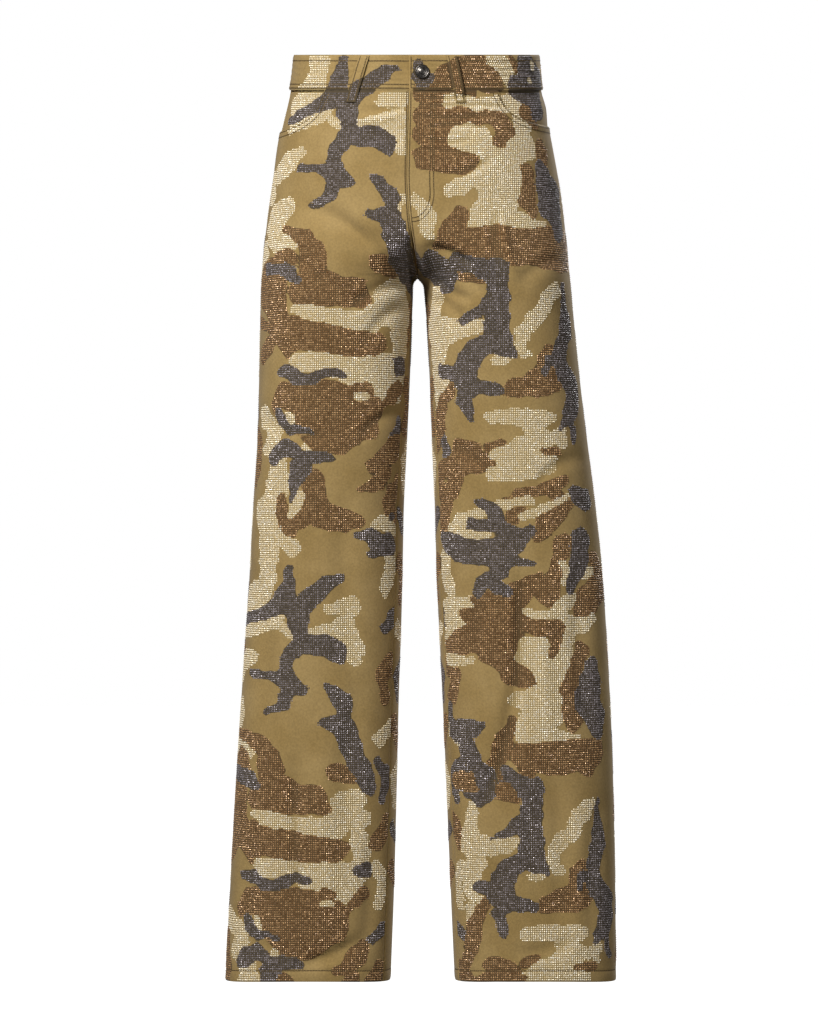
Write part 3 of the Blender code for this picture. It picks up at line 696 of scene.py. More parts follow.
LEFT_CHART = """
brown 30 -43 14, 48 -32 17, 70 -30 18, 84 -37 18, 92 -46 10
brown 9 -58 14, 28 -62 16, 50 -70 12, 60 -54 12
dark 3 -25 7, 0 -38 7, 8 -46 8, 15 -40 5
brown 9 -84 14, 30 -92 17, 54 -88 11, 78 -84 9
brown 8 -106 13, 28 -112 17, 38 -104 12
brown 8 -132 14, 30 -136 16, 50 -138 15, 64 -137 10
brown 110 -16 6, 116 -24 5
cream 38 -66 8, 55 -65 7, 70 -70 9, 90 -69 8, 110 -66 10, 120 -66 11
cream 121 -84 9, 126 -98 10, 122 -112 15, 132 -120 12
cream 60 -103 13, 50 -111 13, 72 -112 17
cream 88 -128 15, 112 -130 18, 100 -142 23, 98 -166 25, 94 -190 25, 80 -196 18, 108 -182 13
cream 85 -151 14, 65 -159 9, 50 -167 9, 39 -171 9
cream 68 -206 12, 118 -207 13, 133 -211 9, 150 -208 4
cream 90 -14 9, 98 -22 10, 107 -32 10, 109 -42 6
brown 83 -83 8, 96 -88 12, 103 -98 13, 98 -112 9
brown 130 -147 9, 131 -164 10, 129 -182 10, 136 -193 8
brown 145 -114 7, 147 -128 9
brown 134 -76 13, 138 -86 8
brown 52 -199 10, 45 -215 14, 38 -228 14, 29 -235 9
brown 62 -233 19, 90 -234 23, 115 -236 21, 140 -235 20, 160 -236 18, 172 -236 16
dark 128 -22 13, 135 -38 14, 117 -45 11, 136 -54 13, 142 -68 11
cream 136 -18 4
cream 133 -38 4
dark 146 -140 8, 150 -160 12, 152 -184 12, 163 -200 10
dark 158 -170 13, 166 -215 8
cream 25 -289 8, 24 -310 9, 22 -330 12, 45 -331 12, 68 -329 10, 78 -327 7
cream 30 -348 14, 26 -363 12, 22 -377 9, 24 -393 7, 36 -395 5
cream 24 -408 8, 22 -419 5
cream 92 -368 5, 101 -366 7, 107 -366 4
cream 163 -284 7, 152 -296 10, 147 -308 10, 135 -322 10, 123 -334 8, 121 -349 8, 124 -360 6, 131 -359 4
brown 50 -268 8, 68 -269 9, 76 -275 6
brown 155 -355 8, 151 -370 15, 156 -388 16, 140 -394 16, 122 -398 12, 108 -401 9
brown 43 -398 6, 35 -410 7, 27 -425 9, 26 -445 10, 22 -463 8, 18 -474 5
brown 50 -472 12, 65 -478 15, 75 -486 13, 45 -490 10, 31 -495 7
brown 48 -505 9, 44 -518 9, 33 -524 7
brown 85 -468 6, 100 -463 5
cream 88 -434 7, 105 -433 9, 130 -434 11, 150 -434 9, 158 -433 6
cream 135 -447 11, 150 -455 9, 160 -459 7, 171 -452 7, 172 -463 6
cream 140 -465 16, 120 -473 15, 100 -479 12, 87 -481 4
cream 152 -485 14, 125 -492 15, 100 -492 11, 88 -502 7, 96 -504 6, 122 -504 5
brown 149 -473 4, 166 -473 6
brown 88 -487 4, 80 -487 6
dark 18 -250 9, 25 -263 14, 38 -268 14, 34 -276 10
dark 45 -254 9, 66 -257 9, 84 -264 12
dark 94 -262 14, 95 -285 13, 94 -310 14, 94 -335 15, 99 -350 14, 109 -358 8, 113 -363 4
dark 50 -322 3, 64 -316 6, 76 -308 8, 84 -300 8
dark 82 -349 11, 68 -357 13, 60 -371 15, 58 -386 17, 62 -400 12
dark 74 -398 9, 90 -401 7, 99 -403 5
dark 31 -379 6, 42 -382 9
dark 54 -412 9, 60 -425 7, 62 -437 4
dark 172 -279 3, 172 -300 5, 173 -315 9, 174 -330 10, 169 -348 9, 166 -365 9, 173 -385 11, 181 -397 11
dark 182 -415 11, 179 -430 10, 173 -438 6, 168 -447 3
dark 184 -446 4, 186 -461 4
dark 154 -367 6, 152 -380 5
brown 173 -507 7, 160 -514 8, 140 -520 7, 120 -523 6, 104 -529 4
brown 165 -526 9, 176 -534 10
brown 150 -560 13, 144 -571 10, 160 -550 11, 172 -538 9, 182 -528 7
brown 112 -545 9, 125 -544 8, 110 -554 7
dark 186 -523 9, 198 -530 9
cream 91 -536 5, 105 -536 7, 120 -531 5, 134 -531 5
cream 125 -551 5, 140 -544 7, 155 -537 6, 165 -533 4, 176 -524 3
cream 78 -543 9, 65 -550 9, 52 -557 9, 44 -565 8, 62 -571 10, 78 -571 10
brown 29 -562 6
cream 40 -655 10, 55 -650 6, 68 -649 5
cream 41 -669 11, 60 -674 7
cream 39 -684 9, 37 -693 5
cream 38 -716 9, 55 -719 6, 64 -718 4
brown 172 -580 10, 168 -600 9, 160 -620 9, 155 -640 15, 165 -651 8
brown 145 -625 10, 130 -632 13, 110 -650 19, 90 -656 20, 72 -648 9
brown 120 -669 15, 95 -680 23, 70 -691 18, 52 -696 13, 40 -702 6
brown 115 -700 17, 120 -722 17, 104 -715 17, 85 -710 13
brown 110 -736 13, 130 -740 10, 139 -738 6
brown 60 -665 9, 75 -666 10
brown 208 -600 8, 210 -628 14, 193 -650 12, 196 -665 11, 211 -643 9
cream 130 -661 6, 142 -667 8, 158 -669 9, 170 -658 10, 181 -645 9
cream 172 -606 5, 176 -616 6, 174 -627 5
cream 195 -617 6, 206 -614 4
cream 178 -675 10, 195 -678 8, 207 -670 6
cream 130 -699 10, 145 -701 12, 125 -712 10, 145 -719 15, 160 -740 19, 176 -720 12, 173 -700 9, 182 -690 9
cream 150 -760 21, 130 -764 11, 114 -764 8
cream 158 -782 14, 135 -790 17, 125 -803 13, 145 -805 13, 160 -808 12, 176 -810 8, 192 -808 4
brown 130 -677 8, 150 -681 10, 165 -678 9, 163 -695 7, 160 -712 5
brown 195 -705 9, 191 -722 9, 182 -745 12, 180 -765 11, 184 -785 14, 182 -796 7
brown 112 -790 7, 105 -805 10, 100 -820 11, 95 -836 11, 90 -850 11
brown 125 -829 15, 150 -833 19, 180 -831 19, 206 -826 16, 200 -845 10
brown 130 -849 9
brown 48 -860 9, 66 -862 10
brown 102 -868 8, 116 -871 6
dark 73 -533 5, 85 -538 8, 92 -548 9, 98 -560 11, 108 -570 13, 125 -572 10, 132 -565 6
dark 62 -558 6, 75 -560 6, 88 -560 8
dark 32 -574 6, 45 -584 12, 62 -590 13, 80 -591 14, 100 -588 15, 118 -582 10
dark 50 -594 9, 76 -597 10, 100 -600 13, 120 -602 6, 135 -604 4
dark 100 -612 10, 88 -621 9, 75 -630 10, 71 -639 7
dark 95 -632 8, 107 -637 6
dark 192 -578 14, 191 -598 13, 188 -615 10, 180 -635 6
dark 207 -722 8, 206 -745 14, 201 -765 17, 209 -785 15, 213 -801 9
dark 38 -772 5, 39 -790 7, 48 -802 11, 65 -798 10, 79 -795 4
dark 58 -812 11, 62 -828 10, 72 -842 10, 80 -855 13, 85 -870 7, 84 -881 3
dark 104 -847 7, 118 -858 9, 132 -870 12, 137 -885 12, 138 -902 12
"""

# Patches along a seam, where the view in the photo ends: distance in from the seam, height, half width
SEAM_CHART = """
cream 8 -150 8, 22 -166 9, 18 -190 7
dark 0 -215 8, 16 -228 9, 27 -222 5
brown 3 -262 11, 18 -280 13, 6 -310 9
cream 22 -336 8, 6 -352 11, 15 -378 8
dark 4 -410 9, 20 -428 7, 26 -452 5
brown 2 -480 12, 20 -500 11, 8 -530 13
cream 24 -550 7, 9 -572 12, 20 -604 9
dark 0 -632 10, 18 -650 8
brown 5 -690 13, 22 -706 10, 12 -732 9
cream 4 -768 10, 22 -780 10
dark 24 -806 6, 6 -824 10, 13 -850 7
brown 2 -880 12, 19 -900 12
cream 20 -930 8, 5 -948 11, 12 -976 8
dark 4 -1004 9, 21 -1016 7
brown 7 -1052 12, 23 -1068 9
"""


def read_chart(chart: str) -> tuple[Stroke, ...]:
    """The strokes of a chart, a row each.

    Args:
        chart: Rows of a paint's name, then points parted by commas.

    Returns:
        The strokes in the chart's own order.
    """
    strokes = []
    for row in chart.strip().splitlines():
        paint, _, points = row.partition(" ")
        line = tuple(tuple(map(float, point.split())) for point in points.split(","))
        strokes.append(Stroke(Paint[paint.upper()], line if len(line) > 1 else line * 2))
    return tuple(strokes)


RIGHT_STROKES = read_chart(RIGHT_CHART)
LEFT_STROKES = read_chart(LEFT_CHART)
SEAM_STROKES = read_chart(SEAM_CHART)


@dataclass(frozen=True)
class Layer:
    """A set of strokes laid on one face of a leg, moved, leant with the flare and perhaps mirrored.

    They count across the body or, with seam 1 or -1, in from the side seam or the inner one.
    """

    strokes: tuple[Stroke, ...]
    move_x: float = 0.0
    move_z: float = 0.0
    lean: float = 0.0
    mirrored: bool = False
    seam: int = 0

    def lines(self) -> list[tuple[int, Array]]:
        """Paint numbers and stroke points in metres."""
        result = []
        for item in self.strokes:
            line = np.array(item.line, dtype=float) * MM
            line[:, 0] -= self.lean * line[:, 1]
            if self.mirrored:
                line[:, 0] = 2 * CLOTH.centre - line[:, 0]
            line[:, :2] += np.array([self.move_x, self.move_z]) * MM
            result.append((item.paint.value, line))
        return result


def within(strokes: tuple[Stroke, ...], top: float, bottom: float) -> tuple[Stroke, ...]:
    """The strokes whose first point lies between two heights in millimetres."""
    return tuple(item for item in strokes if bottom <= item.line[0][1] <= top)


class Camouflage:
    """The paint at each place of one face of a leg, as three soft fields that are positive inside.

    A stroke raises its own field to its signed distance and lowers the others to the opposite one.
    """

    FAR = 8 * MM
    WARP = 2.4 * MM
    SPREAD = 2.2

    def __init__(self, chart: Chart, layers: tuple[Layer, ...]) -> None:
        """Unroll the strokes onto the chart's own plane, wider where the leg turns away."""
        self.lines = []
        for layer in layers:
            for paint, line in layer.lines():
                x, z, radius = line.T
                if layer.seam:
                    x = chart.from_seam(x, z, layer.seam)
                else:
                    near = chart.unroll(x - radius, z)
                    far = chart.unroll(x + radius, z)
                    wide = np.clip(np.abs(far - near) / 2, radius, self.SPREAD * radius)
                    x, radius = (near + far) / 2, (wide + radius) / 2
                self.lines.append((paint, np.stack([x, z, radius], axis=1)))

    def warped(self, place: Array) -> Array:
        """Places moved by a few crossed sines, and sideways by chance for every three rows of stones.

        These give the strokes the ragged, stepped edges of a pattern laid on a grid.
        """
        x, z = place.T / MM
        rows = np.floor(place[:, 1] / (3 * STONE.pitch))
        blocks = np.floor(place[:, 0] / (9 * STONE.pitch))
        dx = np.sin(x * 0.17 + 1.3 * np.sin(z * 0.11)) + 0.6 * np.sin(z * 0.29 + x * 0.07 + 1)
        dz = np.sin(z * 0.21 + 1.7 * np.sin(x * 0.09 + 2)) + 0.5 * np.sin(x * 0.37 + 0.5)
        dx = dx + 3.0 * (hashed(rows, blocks) - 0.5)
        return place + np.stack([dx, dz], axis=1) * (self.WARP * 0.5)

    def fields(self, place: Array) -> Array:
        """Three fields in metres for places of any shape, cut off at a small distance."""
        spot = self.warped(place.reshape(-1, 2))
        result = np.full((len(spot), 3), -self.FAR)
        for paint, line in self.lines:
            reach = line[:, 2].max() + self.FAR
            low = line[:, :2].min(axis=0) - reach
            high = line[:, :2].max(axis=0) + reach
            near = np.flatnonzero(((spot > low) & (spot < high)).all(axis=1))
            if len(near):
                inside = np.clip(self.inside(spot[near], line), -self.FAR, self.FAR)
                before = result[near]
                after = np.minimum(before, -inside[:, None])
                after[:, paint] = np.maximum(before[:, paint], inside)
                result[near] = after
        return result.reshape(place.shape[:-1] + (3,))

    @staticmethod
    def inside(spot: Array, line: Array) -> Array:
        """How far inside a tapering line each place lies: the radius less the distance to it."""
        best = np.full(len(spot), -1.0)
        for start, end in zip(line[:-1], line[1:]):
            along = end[:2] - start[:2]
            t = np.clip((spot - start[:2]) @ along / (along @ along + 1e-12), 0, 1)
            gap = np.linalg.norm(spot - start[:2] - t[:, None] * along, axis=1)
            best = np.maximum(best, start[2] + (end[2] - start[2]) * t - gap)
        return best


# ---- meshes

SHARP = math.radians(50)


def link_mesh(name: str, points: Array, faces: Array, materials: list) -> bpy.types.Object:
    """A smooth-shaded object from points and faces of one number of sides.

    Args:
        name: The object's name.
        points: Rows of three.
        faces: Rows of point numbers.
        materials: Its materials in order.

    Returns:
        The object, linked to the scene.
    """
    mesh = bpy.data.meshes.new(name)
    sides = faces.shape[1]
    mesh.vertices.add(len(points))
    mesh.vertices.foreach_set("co", np.ascontiguousarray(points, dtype=np.float32).ravel())
    mesh.loops.add(faces.size)
    mesh.loops.foreach_set("vertex_index", np.ascontiguousarray(faces, dtype=np.int32).ravel())
    mesh.polygons.add(len(faces))
    mesh.polygons.foreach_set("loop_start", np.arange(0, faces.size, sides, dtype=np.int32))
    mesh.update(calc_edges=True)
    mesh.shade_smooth()
    for material in materials:
        mesh.materials.append(material)
    thing = bpy.data.objects.new(name, mesh)
    bpy.context.scene.collection.objects.link(thing)
    return thing


def link_parts(name: str, points: Array, faces: Array, materials: list, paint: Array,
               glint: Array | float = 0.5) -> bpy.types.Object:
    """A mesh whose faces have their own material numbers and glints."""
    thing = link_mesh(name, points, faces, materials)
    thing.data.polygons.foreach_set("material_index", np.ascontiguousarray(paint, dtype=np.int32))
    values = np.full(len(faces), glint, dtype=np.float32)
    thing.data.attributes.new("glint", "FLOAT", "FACE").data.foreach_set("value", values)
    return thing


def repeated(pattern: Array, count: int, size: int) -> Array:
    """A pattern of faces over again for each of many like parts of some number of points."""
    return (np.arange(count)[:, None, None] * size + pattern).reshape(-1, pattern.shape[1])


def wall_faces(rows: int, columns: int) -> Array:
    """Quads of a closed wall: an outer grid, the same inner grid after it, and their rim."""
    size = rows * columns
    index = np.arange(size).reshape(rows, columns)
    quads = [index[:-1, :-1], index[1:, :-1], index[1:, 1:], index[:-1, 1:]]
    outer = np.stack(quads, axis=-1).reshape(-1, 4)
    edge = np.concatenate([index[0, :-1], index[:-1, -1], index[-1, :0:-1], index[:0:-1, 0]])
    after = np.roll(edge, -1)
    rim = np.stack([edge, after, after + size, edge + size], axis=1)
    return np.concatenate([outer, outer[:, [0, 3, 2, 1]] + size, rim])


def link_wall(name: str, outer: Array, inner: Array, uv: Array, ground: Array,
              material: bpy.types.Material) -> bpy.types.Object:
    """A closed cloth wall between two grids of points, its faces turned outward.

    Args:
        name: The object's name.
        outer: Grid of points on the right side.
        inner: The same grid on the wrong side, which gets no camouflage.
        uv: Grid of pairs, metres along the cloth and up.
        ground: Grid of three camouflage fields, 0.5 on a shape's edge.
        material: The cloth.

    Returns:
        The object, linked to the scene.
    """
    rows, columns = outer.shape[:2]
    points = np.concatenate([outer.reshape(-1, 3), inner.reshape(-1, 3)])
    faces = wall_faces(rows, columns)
    first = points[faces[: (rows - 1) * (columns - 1)]]
    normal = np.cross(first[:, 1] - first[:, 0], first[:, 2] - first[:, 0])
    if (normal * (outer - inner)[:-1, :-1].reshape(-1, 3)).sum() < 0:
        faces = faces[:, ::-1]
    thing = link_mesh(name, points, faces, [material])
    mesh = thing.data
    mesh.set_sharp_from_angle(angle=SHARP)
    both = np.tile(uv.reshape(-1, 2), (2, 1))
    layer = mesh.uv_layers.new(name="cloth")
    layer.data.foreach_set("uv", both[faces.ravel()].astype(np.float32).ravel())
    colours = np.zeros((len(points), 4), dtype=np.float32)
    colours[: len(points) // 2, :3] = ground.reshape(-1, 3)
    colours[:, 3] = 1
    mesh.attributes.new("ground", "FLOAT_COLOR", "POINT").data.foreach_set("color", colours.ravel())
    return thing


def edged(grid: Array) -> Array:
    """A grid of (u, height) pairs with two lines more along each edge, so that edges can round off."""
    for _ in range(2):
        for _ in range(2):
            across = grid[1] - grid[0]
            step = np.maximum(np.linalg.norm(across, axis=-1, keepdims=True), 1e-6)
            extra = [grid[0] + across * np.minimum(near / step, most)
                     for near, most in ((0.7 * MM, 0.3), (1.8 * MM, 0.4))]
            grid = np.concatenate([grid[:1], np.array(extra), grid[1:]])[::-1]
        grid = grid.swapaxes(0, 1)
    return grid


def flat_size(grid: Array) -> tuple[float, float, float]:
    """Width, length and area of a cut piece from its grid of (u, height) pairs."""
    across = grid[1:, 1:] - grid[:-1, :-1]
    other = grid[1:, :-1] - grid[:-1, 1:]
    area = np.abs(across[..., 0] * other[..., 1] - across[..., 1] * other[..., 0]).sum() / 2
    width = float(np.ptp(grid[..., 0], axis=1).max())
    length = float(np.ptp(grid[..., 1]))
    return width, length, float(min(area, width * length))


# ---- cut pieces

class Ply:
    """A cut piece lying on a chart: its points are given by length along the cloth and height."""

    EDGE_ROLL = 0.55 * MM
    EDGE_REACH = 1.2 * MM
    TUCK = 0.4 * MM
    STEP = 0.6 * MM
    SEAM_ROWS = (2.2 * MM, 7.7 * MM)
    DOUBLE_ROWS = (2.0 * MM, 7.5 * MM)

    def __init__(self, name: str, chart: Chart, camouflage: Camouflage, base: float = 0.0) -> None:
        """Keep the chart and how far the piece lies over it."""
        self.name = name
        self.chart = chart
        self.half = chart.half
        self.camouflage = camouflage
        self.base = base

    @property
    def cloth(self) -> str:
        """The name of the piece's cloth."""
        return self.name + "_cloth"

    def relief(self, u: Array, height: Array) -> Array:
        """Small height changes over the cloth: rounded edges, seams and stitch puckers."""
        length = self.chart.length(height)
        edge = np.minimum(u, length - u)
        pucker = 0.16 * np.sin(height / (5.5 * MM) + 2 * hashed(np.floor(height / (17 * MM))))
        return -self.EDGE_ROLL * bell(edge, self.EDGE_REACH) + pucker * MM * bell(edge - 5 * MM, 4 * MM)

    def angle(self, u: Array, height: Array) -> Array:
        """The angle round the section."""
        return self.chart.angle(u, height)

    def surface(self, u: Array, height: Array, lift: Array | float = 0.0) -> Array:
        """Points of the right side, moved out by the lift."""
        angle = self.angle(u, height)
        return self.half.cloth_point(angle, height, self.base + self.relief(u, height) + lift)

    def directions(self, u: Array, height: Array) -> tuple[Array, Array, Array]:
        """Along, up and outward unit vectors, from small steps over the surface."""
        here = self.surface(u, height)
        along = unit(self.surface(u + self.STEP, height) - here)
        normal = unit(np.cross(along, self.surface(u, height + self.STEP) - here))
        plain = self.half.plain_normal(self.angle(u, height), height)
        normal *= np.sign((normal * plain).sum(axis=-1, keepdims=True))
        return along, np.cross(normal, along), normal

    def grid(self) -> Array:
        """The piece's grid of (u, height) pairs."""
        raise NotImplementedError

    def free(self, u: Array, height: Array) -> Array:
        """Where the cloth shows and can hold stones."""
        return (u > STONE.margin) & (u < self.chart.length(height) - STONE.margin)

    def lines(self) -> list[Array]:
        """Its lines of stitches, as (u, height) pairs."""
        return []

    def centre_rows(self, top: float, bottom: float, count: int) -> list[Array]:
        """Two lines of stitches beside the centre seam, on a left piece."""
        down = np.linspace(top, bottom, count)
        return [pair(away, down) for away in self.SEAM_ROWS if self.half.size is LEFT]

    def fields(self, u: Array, height: Array) -> Array:
        """The camouflage's fields at points of the cloth."""
        z = self.half.plain_point(self.chart.angle(u, height), height)[..., 2]
        return self.camouflage.fields(pair(self.chart.across(u, height), z))

    def wrong_side(self, grid: Array) -> Array:
        """Points of the wrong side, whose edges reach over the gaps to the pieces beside it."""
        under = grid.copy()
        under[:, 0, 0] -= CLOTH.gap
        under[:, -1, 0] += CLOTH.gap
        under[0, :, 1] += CLOTH.gap + self.TUCK
        return self.surface(under[..., 0], under[..., 1], -CLOTH.wall)

    def fine_grid(self) -> Array:
        """The grid that the wall is built on."""
        return edged(self.grid())

    def declare_sheet(self, thing: bpy.types.Object, grid: Array) -> None:
        """Say how large the piece was when it was cut."""
        width, length, area = flat_size(grid)
        LOG.info("%s flat %.0f x %.0f mm, %.4f m2", self.name, width / MM, length / MM, area)

    def build(self, finish: "Twill") -> None:
        """Make the piece as a closed wall in place of its solid, and log the size of the sheet that it is cut
        from.
        """
        grid = self.fine_grid()
        u, height = grid[..., 0], grid[..., 1]
        ground = np.clip(0.5 + self.fields(u, height) / (2 * Camouflage.FAR), 0, 1)
        thing = link_wall(self.cloth, self.surface(u, height), self.wrong_side(grid), grid, ground,
                          finish.material)
        declare(thing, self.name)
        self.declare_sheet(thing, grid)


def declare(thing: bpy.types.Object, node: str) -> None:
    """Ride on the one body and stand in for a solid, which is hidden."""
    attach(thing, "root")
    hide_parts(node)


def leg_heights() -> Array:
    """Heights from the top of the fork to the hem, close together at the crotch and the hem."""
    near = np.array([0.4, 1.5, 3, 5, 8, 11, 14, 18, 22, 26, 30, 34, 38, 42, 46, 50, 54]) * MM
    end = CLOTH.hem + np.array([18, 16, 14.4, 13, 11.6, 9, 6, 3, 0]) * MM
    fork = CLOTH.crotch + CLOTH.fork_height * np.linspace(1, 0, 27) ** 1.7
    even = np.linspace(CLOTH.crotch - 60 * MM, CLOTH.hem + 21 * MM, 149)
    return np.concatenate([fork, CLOTH.crotch - near, even, end])


class LegPly(Ply):
    """A panel that reaches from the hips to the hem."""

    def relief(self, u: Array, height: Array) -> Array:
        """Rounded edges, and the hem: a pressed stitch line, soft puckers over it, a rounded fold."""
        over = height - CLOTH.hem
        groove = -0.4 * MM * bell(over - CLOTH.hem_depth, 1.5 * MM)
        waves = np.sin(u / (6.3 * MM) + 1.3 * np.sin(u / (23 * MM)))
        pucker = 0.35 * MM * waves * bell(over - 9 * MM, 7 * MM)
        fold = -0.45 * MM * bell(over, 1.4 * MM)
        return super().relief(u, height) + groove + pucker + fold

    def lines(self) -> list[Array]:
        """The stitches round the hem."""
        height = CLOTH.hem + CLOTH.hem_depth
        return [pair(np.linspace(0, 1, 90) * self.chart.length(height), height)]

    def free(self, u: Array, height: Array) -> Array:
        """Off the seams and the hem's edge."""
        return super().free(u, height) & (height > CLOTH.hem + STONE.margin)


class FrontPly(LegPly):
    """A front panel, its upper outer corner cut away by the scoop pocket.

    The scoop is a rounded curve |c|^p + |s|^p = 1, with c the share of its width and s of its depth.
    """

    BLEND = -135 * MM
    FADE = 150 * MM
    INNER = 24
    CUTS = np.array([1, 0.985, 0.95, 0.86, 0.7, 0.52, 0.34, 0.17, 0])
    SCOOPED = 37
    SCOOP_ROWS = (2 * MM, 8 * MM)
    FLY_ROWS = (26 * MM, 30.5 * MM)
    FLY_TURNS = -168 * MM
    PLACKET = 29 * MM
    PLACKET_END = -190 * MM
    SCOOP_SEEN = -150 * MM

    def scoop(self, u: Array, height: Array) -> Array:
        """Signed distance from the scoop's edge, below 0 in the opening.

        It is the curve's own value less one, over the length of its slope.
        """
        size = self.half.size
        power = CLOTH.scoop_power
        depth = CLOTH.band_line - size.scoop_bottom
        c = np.abs((self.chart.length(height) - u) / size.scoop_width) + 1e-6
        s = np.clip((CLOTH.band_line - height) / depth, 1e-6, None)
        total = c ** power + s ** power
        value = total ** (1 / power)
        slope_c = c ** (power - 1) / size.scoop_width
        slope_s = s ** (power - 1) / depth
        slope = np.hypot(slope_c, slope_s) * total ** (1 / power - 1)
        return (value - 1) / slope

    def scoop_line(self, away: float) -> Array:
        """The scoop's curve moved into the panel by a distance, as (u, height) pairs."""
        size = self.half.size
        turn = np.linspace(0, math.pi / 2, 121)
        power = 2 / CLOTH.scoop_power
        depth = CLOTH.band_line - size.scoop_bottom
        line = pair(-np.cos(turn) ** power * size.scoop_width, -np.sin(turn) ** power * depth)
        along = unit(np.gradient(line, axis=0))
        line += pair(along[:, 1], -along[:, 0]) * away
        height = CLOTH.band_line + line[:, 1]
        return pair(self.chart.length(height) + line[:, 0], height)[(line < -0.5 * MM).all(axis=1)]

    def relief(self, u: Array, height: Array) -> Array:
        """The scoop's turned edge swells between its two rows of stitches; the fly's rows press in."""
        away = self.scoop(u, height)
        turned = 0.35 * MM * bell(away - 4.5 * MM, 3 * MM) - self.EDGE_ROLL * bell(away, 1.3 * MM)
        above = smooth_step((height - self.PLACKET_END) / (15 * MM)) * (self.half.size is LEFT)
        placket = 0.3 * MM * bell(u - self.PLACKET, 2.5 * MM) * above
        return super().relief(u, height) + turned * (height > self.SCOOP_SEEN) - placket

    def grid(self) -> Array:
        """Rows that follow the scoop at the top and turn level below it."""
        size = self.half.size
        spread = np.interp(np.linspace(0, 8, self.SCOOPED), np.arange(9), self.CUTS)
        cuts = np.concatenate([np.ones(self.INNER), spread])
        rise = 1 - (1 - cuts ** CLOTH.scoop_power) ** (1 / CLOTH.scoop_power)
        top = size.scoop_bottom + (CLOTH.band_line - size.scoop_bottom) * rise
        upper = top + (self.BLEND - top) * np.linspace(0, 1, 25)[:, None]
        rows = np.concatenate([np.linspace(self.BLEND, CLOTH.fork_top, 9)[1:-1], leg_heights()])
        height = np.concatenate([upper, rows[:, None] + 0 * top])
        length = self.chart.length(height)
        scooped = 1 - size.scoop_width * cuts / length
        scooped[:, : self.INNER] *= np.arange(self.INNER) / self.INNER
        even = np.arange(len(cuts)) / (len(cuts) - 1)
        share = scooped + (even - scooped) * smooth_step((self.BLEND - height) / self.FADE)
        return self.chart.spread(share, height)

    def free(self, u: Array, height: Array) -> Array:
        """Not in the scoop, nor on its edge or past the waist seam."""
        inside = super().free(u, height) & (self.scoop(u, height) > STONE.margin)
        return inside & (height < CLOTH.band_line - STONE.margin)

    def lines(self) -> list[Array]:
        """Stitches: the hem, the scoop's two rows, the centre seam and, on the left, the fly's J."""
        down = np.linspace(CLOTH.band_line - 1 * MM, CLOTH.crotch + 2 * MM, 160)
        found = [self.scoop_line(away) for away in self.SCOOP_ROWS] + super().lines()
        fly = [self.fly_line(away) for away in self.FLY_ROWS if self.half.size is LEFT]
        return found + [pair(self.SEAM_ROWS[0], down)] + fly

    def fly_line(self, away: float) -> Array:
        """The fly's J: straight down beside the edge, then a quarter oval into it."""
        turn = np.linspace(0, math.pi / 2, 40)
        end = 3 * MM
        straight = np.linspace(CLOTH.band_line - 1 * MM, self.FLY_TURNS, 60)
        curve = pair((away - end) * np.cos(turn) + end, self.FLY_TURNS - (away + 8 * MM) * np.sin(turn))
        return np.concatenate([pair(away, straight), curve])


def yoke_line(share: Array) -> Array:
    """The yoke seam's height: it falls towards the centre back."""
    return CLOTH.yoke_centre + (CLOTH.yoke_side - CLOTH.yoke_centre) * share


class BackPly(LegPly):
    """A back panel, from the yoke seam to the hem."""

    COLUMNS = 54

    def grid(self) -> Array:
        """Rows that follow the yoke seam at the top and turn level below it."""
        shares = np.linspace(0, 1, self.COLUMNS)
        rows = np.concatenate([np.linspace(CLOTH.yoke_side, CLOTH.fork_top, 15)[:-1], leg_heights()])
        fade = np.clip((rows - CLOTH.yoke_fade) / (CLOTH.yoke_side - CLOTH.yoke_fade), 0, 1)
        seam = yoke_line(shares) - CLOTH.gap / 2
        height = rows[:, None] + fade[:, None] * (seam - CLOTH.yoke_side)
        return self.chart.spread(shares, height)

    def free(self, u: Array, height: Array) -> Array:
        """Under the yoke seam and not under the pocket."""
        below = height < yoke_line(u / self.chart.length(height)) - STONE.margin
        return super().free(u, height) & below & ~PocketPly.covers(self.chart, u, height)

    def lines(self) -> list[Array]:
        """Stitches: the hem, two rows under the yoke seam and two beside the centre seam."""
        shares = np.linspace(0, 1, 100)
        found = super().lines()
        for away in self.DOUBLE_ROWS:
            height = yoke_line(shares) - away
            found.append(pair(shares * self.chart.length(height), height))
        return found + self.centre_rows(CLOTH.yoke_centre - 2 * MM, CLOTH.crotch + 4 * MM, 120)


class YokePly(Ply):
    """A yoke piece, between the waistband and the back panel."""

    def grid(self) -> Array:
        """Rows from the band's seam to the yoke's."""
        shares = np.linspace(0, 1, 46)
        seam = yoke_line(shares) + CLOTH.gap / 2
        height = CLOTH.band_line + (seam - CLOTH.band_line) * np.linspace(0, 1, 14)[:, None]
        return self.chart.spread(shares, height)

    def free(self, u: Array, height: Array) -> Array:
        """Between the two seams."""
        above = height > yoke_line(u / self.chart.length(height)) + STONE.margin
        return super().free(u, height) & above & (height < -CLOTH.band_height - STONE.margin)

    def lines(self) -> list[Array]:
        """Stitches: two rows beside the centre seam."""
        return self.centre_rows(-CLOTH.band_height - 1 * MM, CLOTH.yoke_centre + 1 * MM, 50)


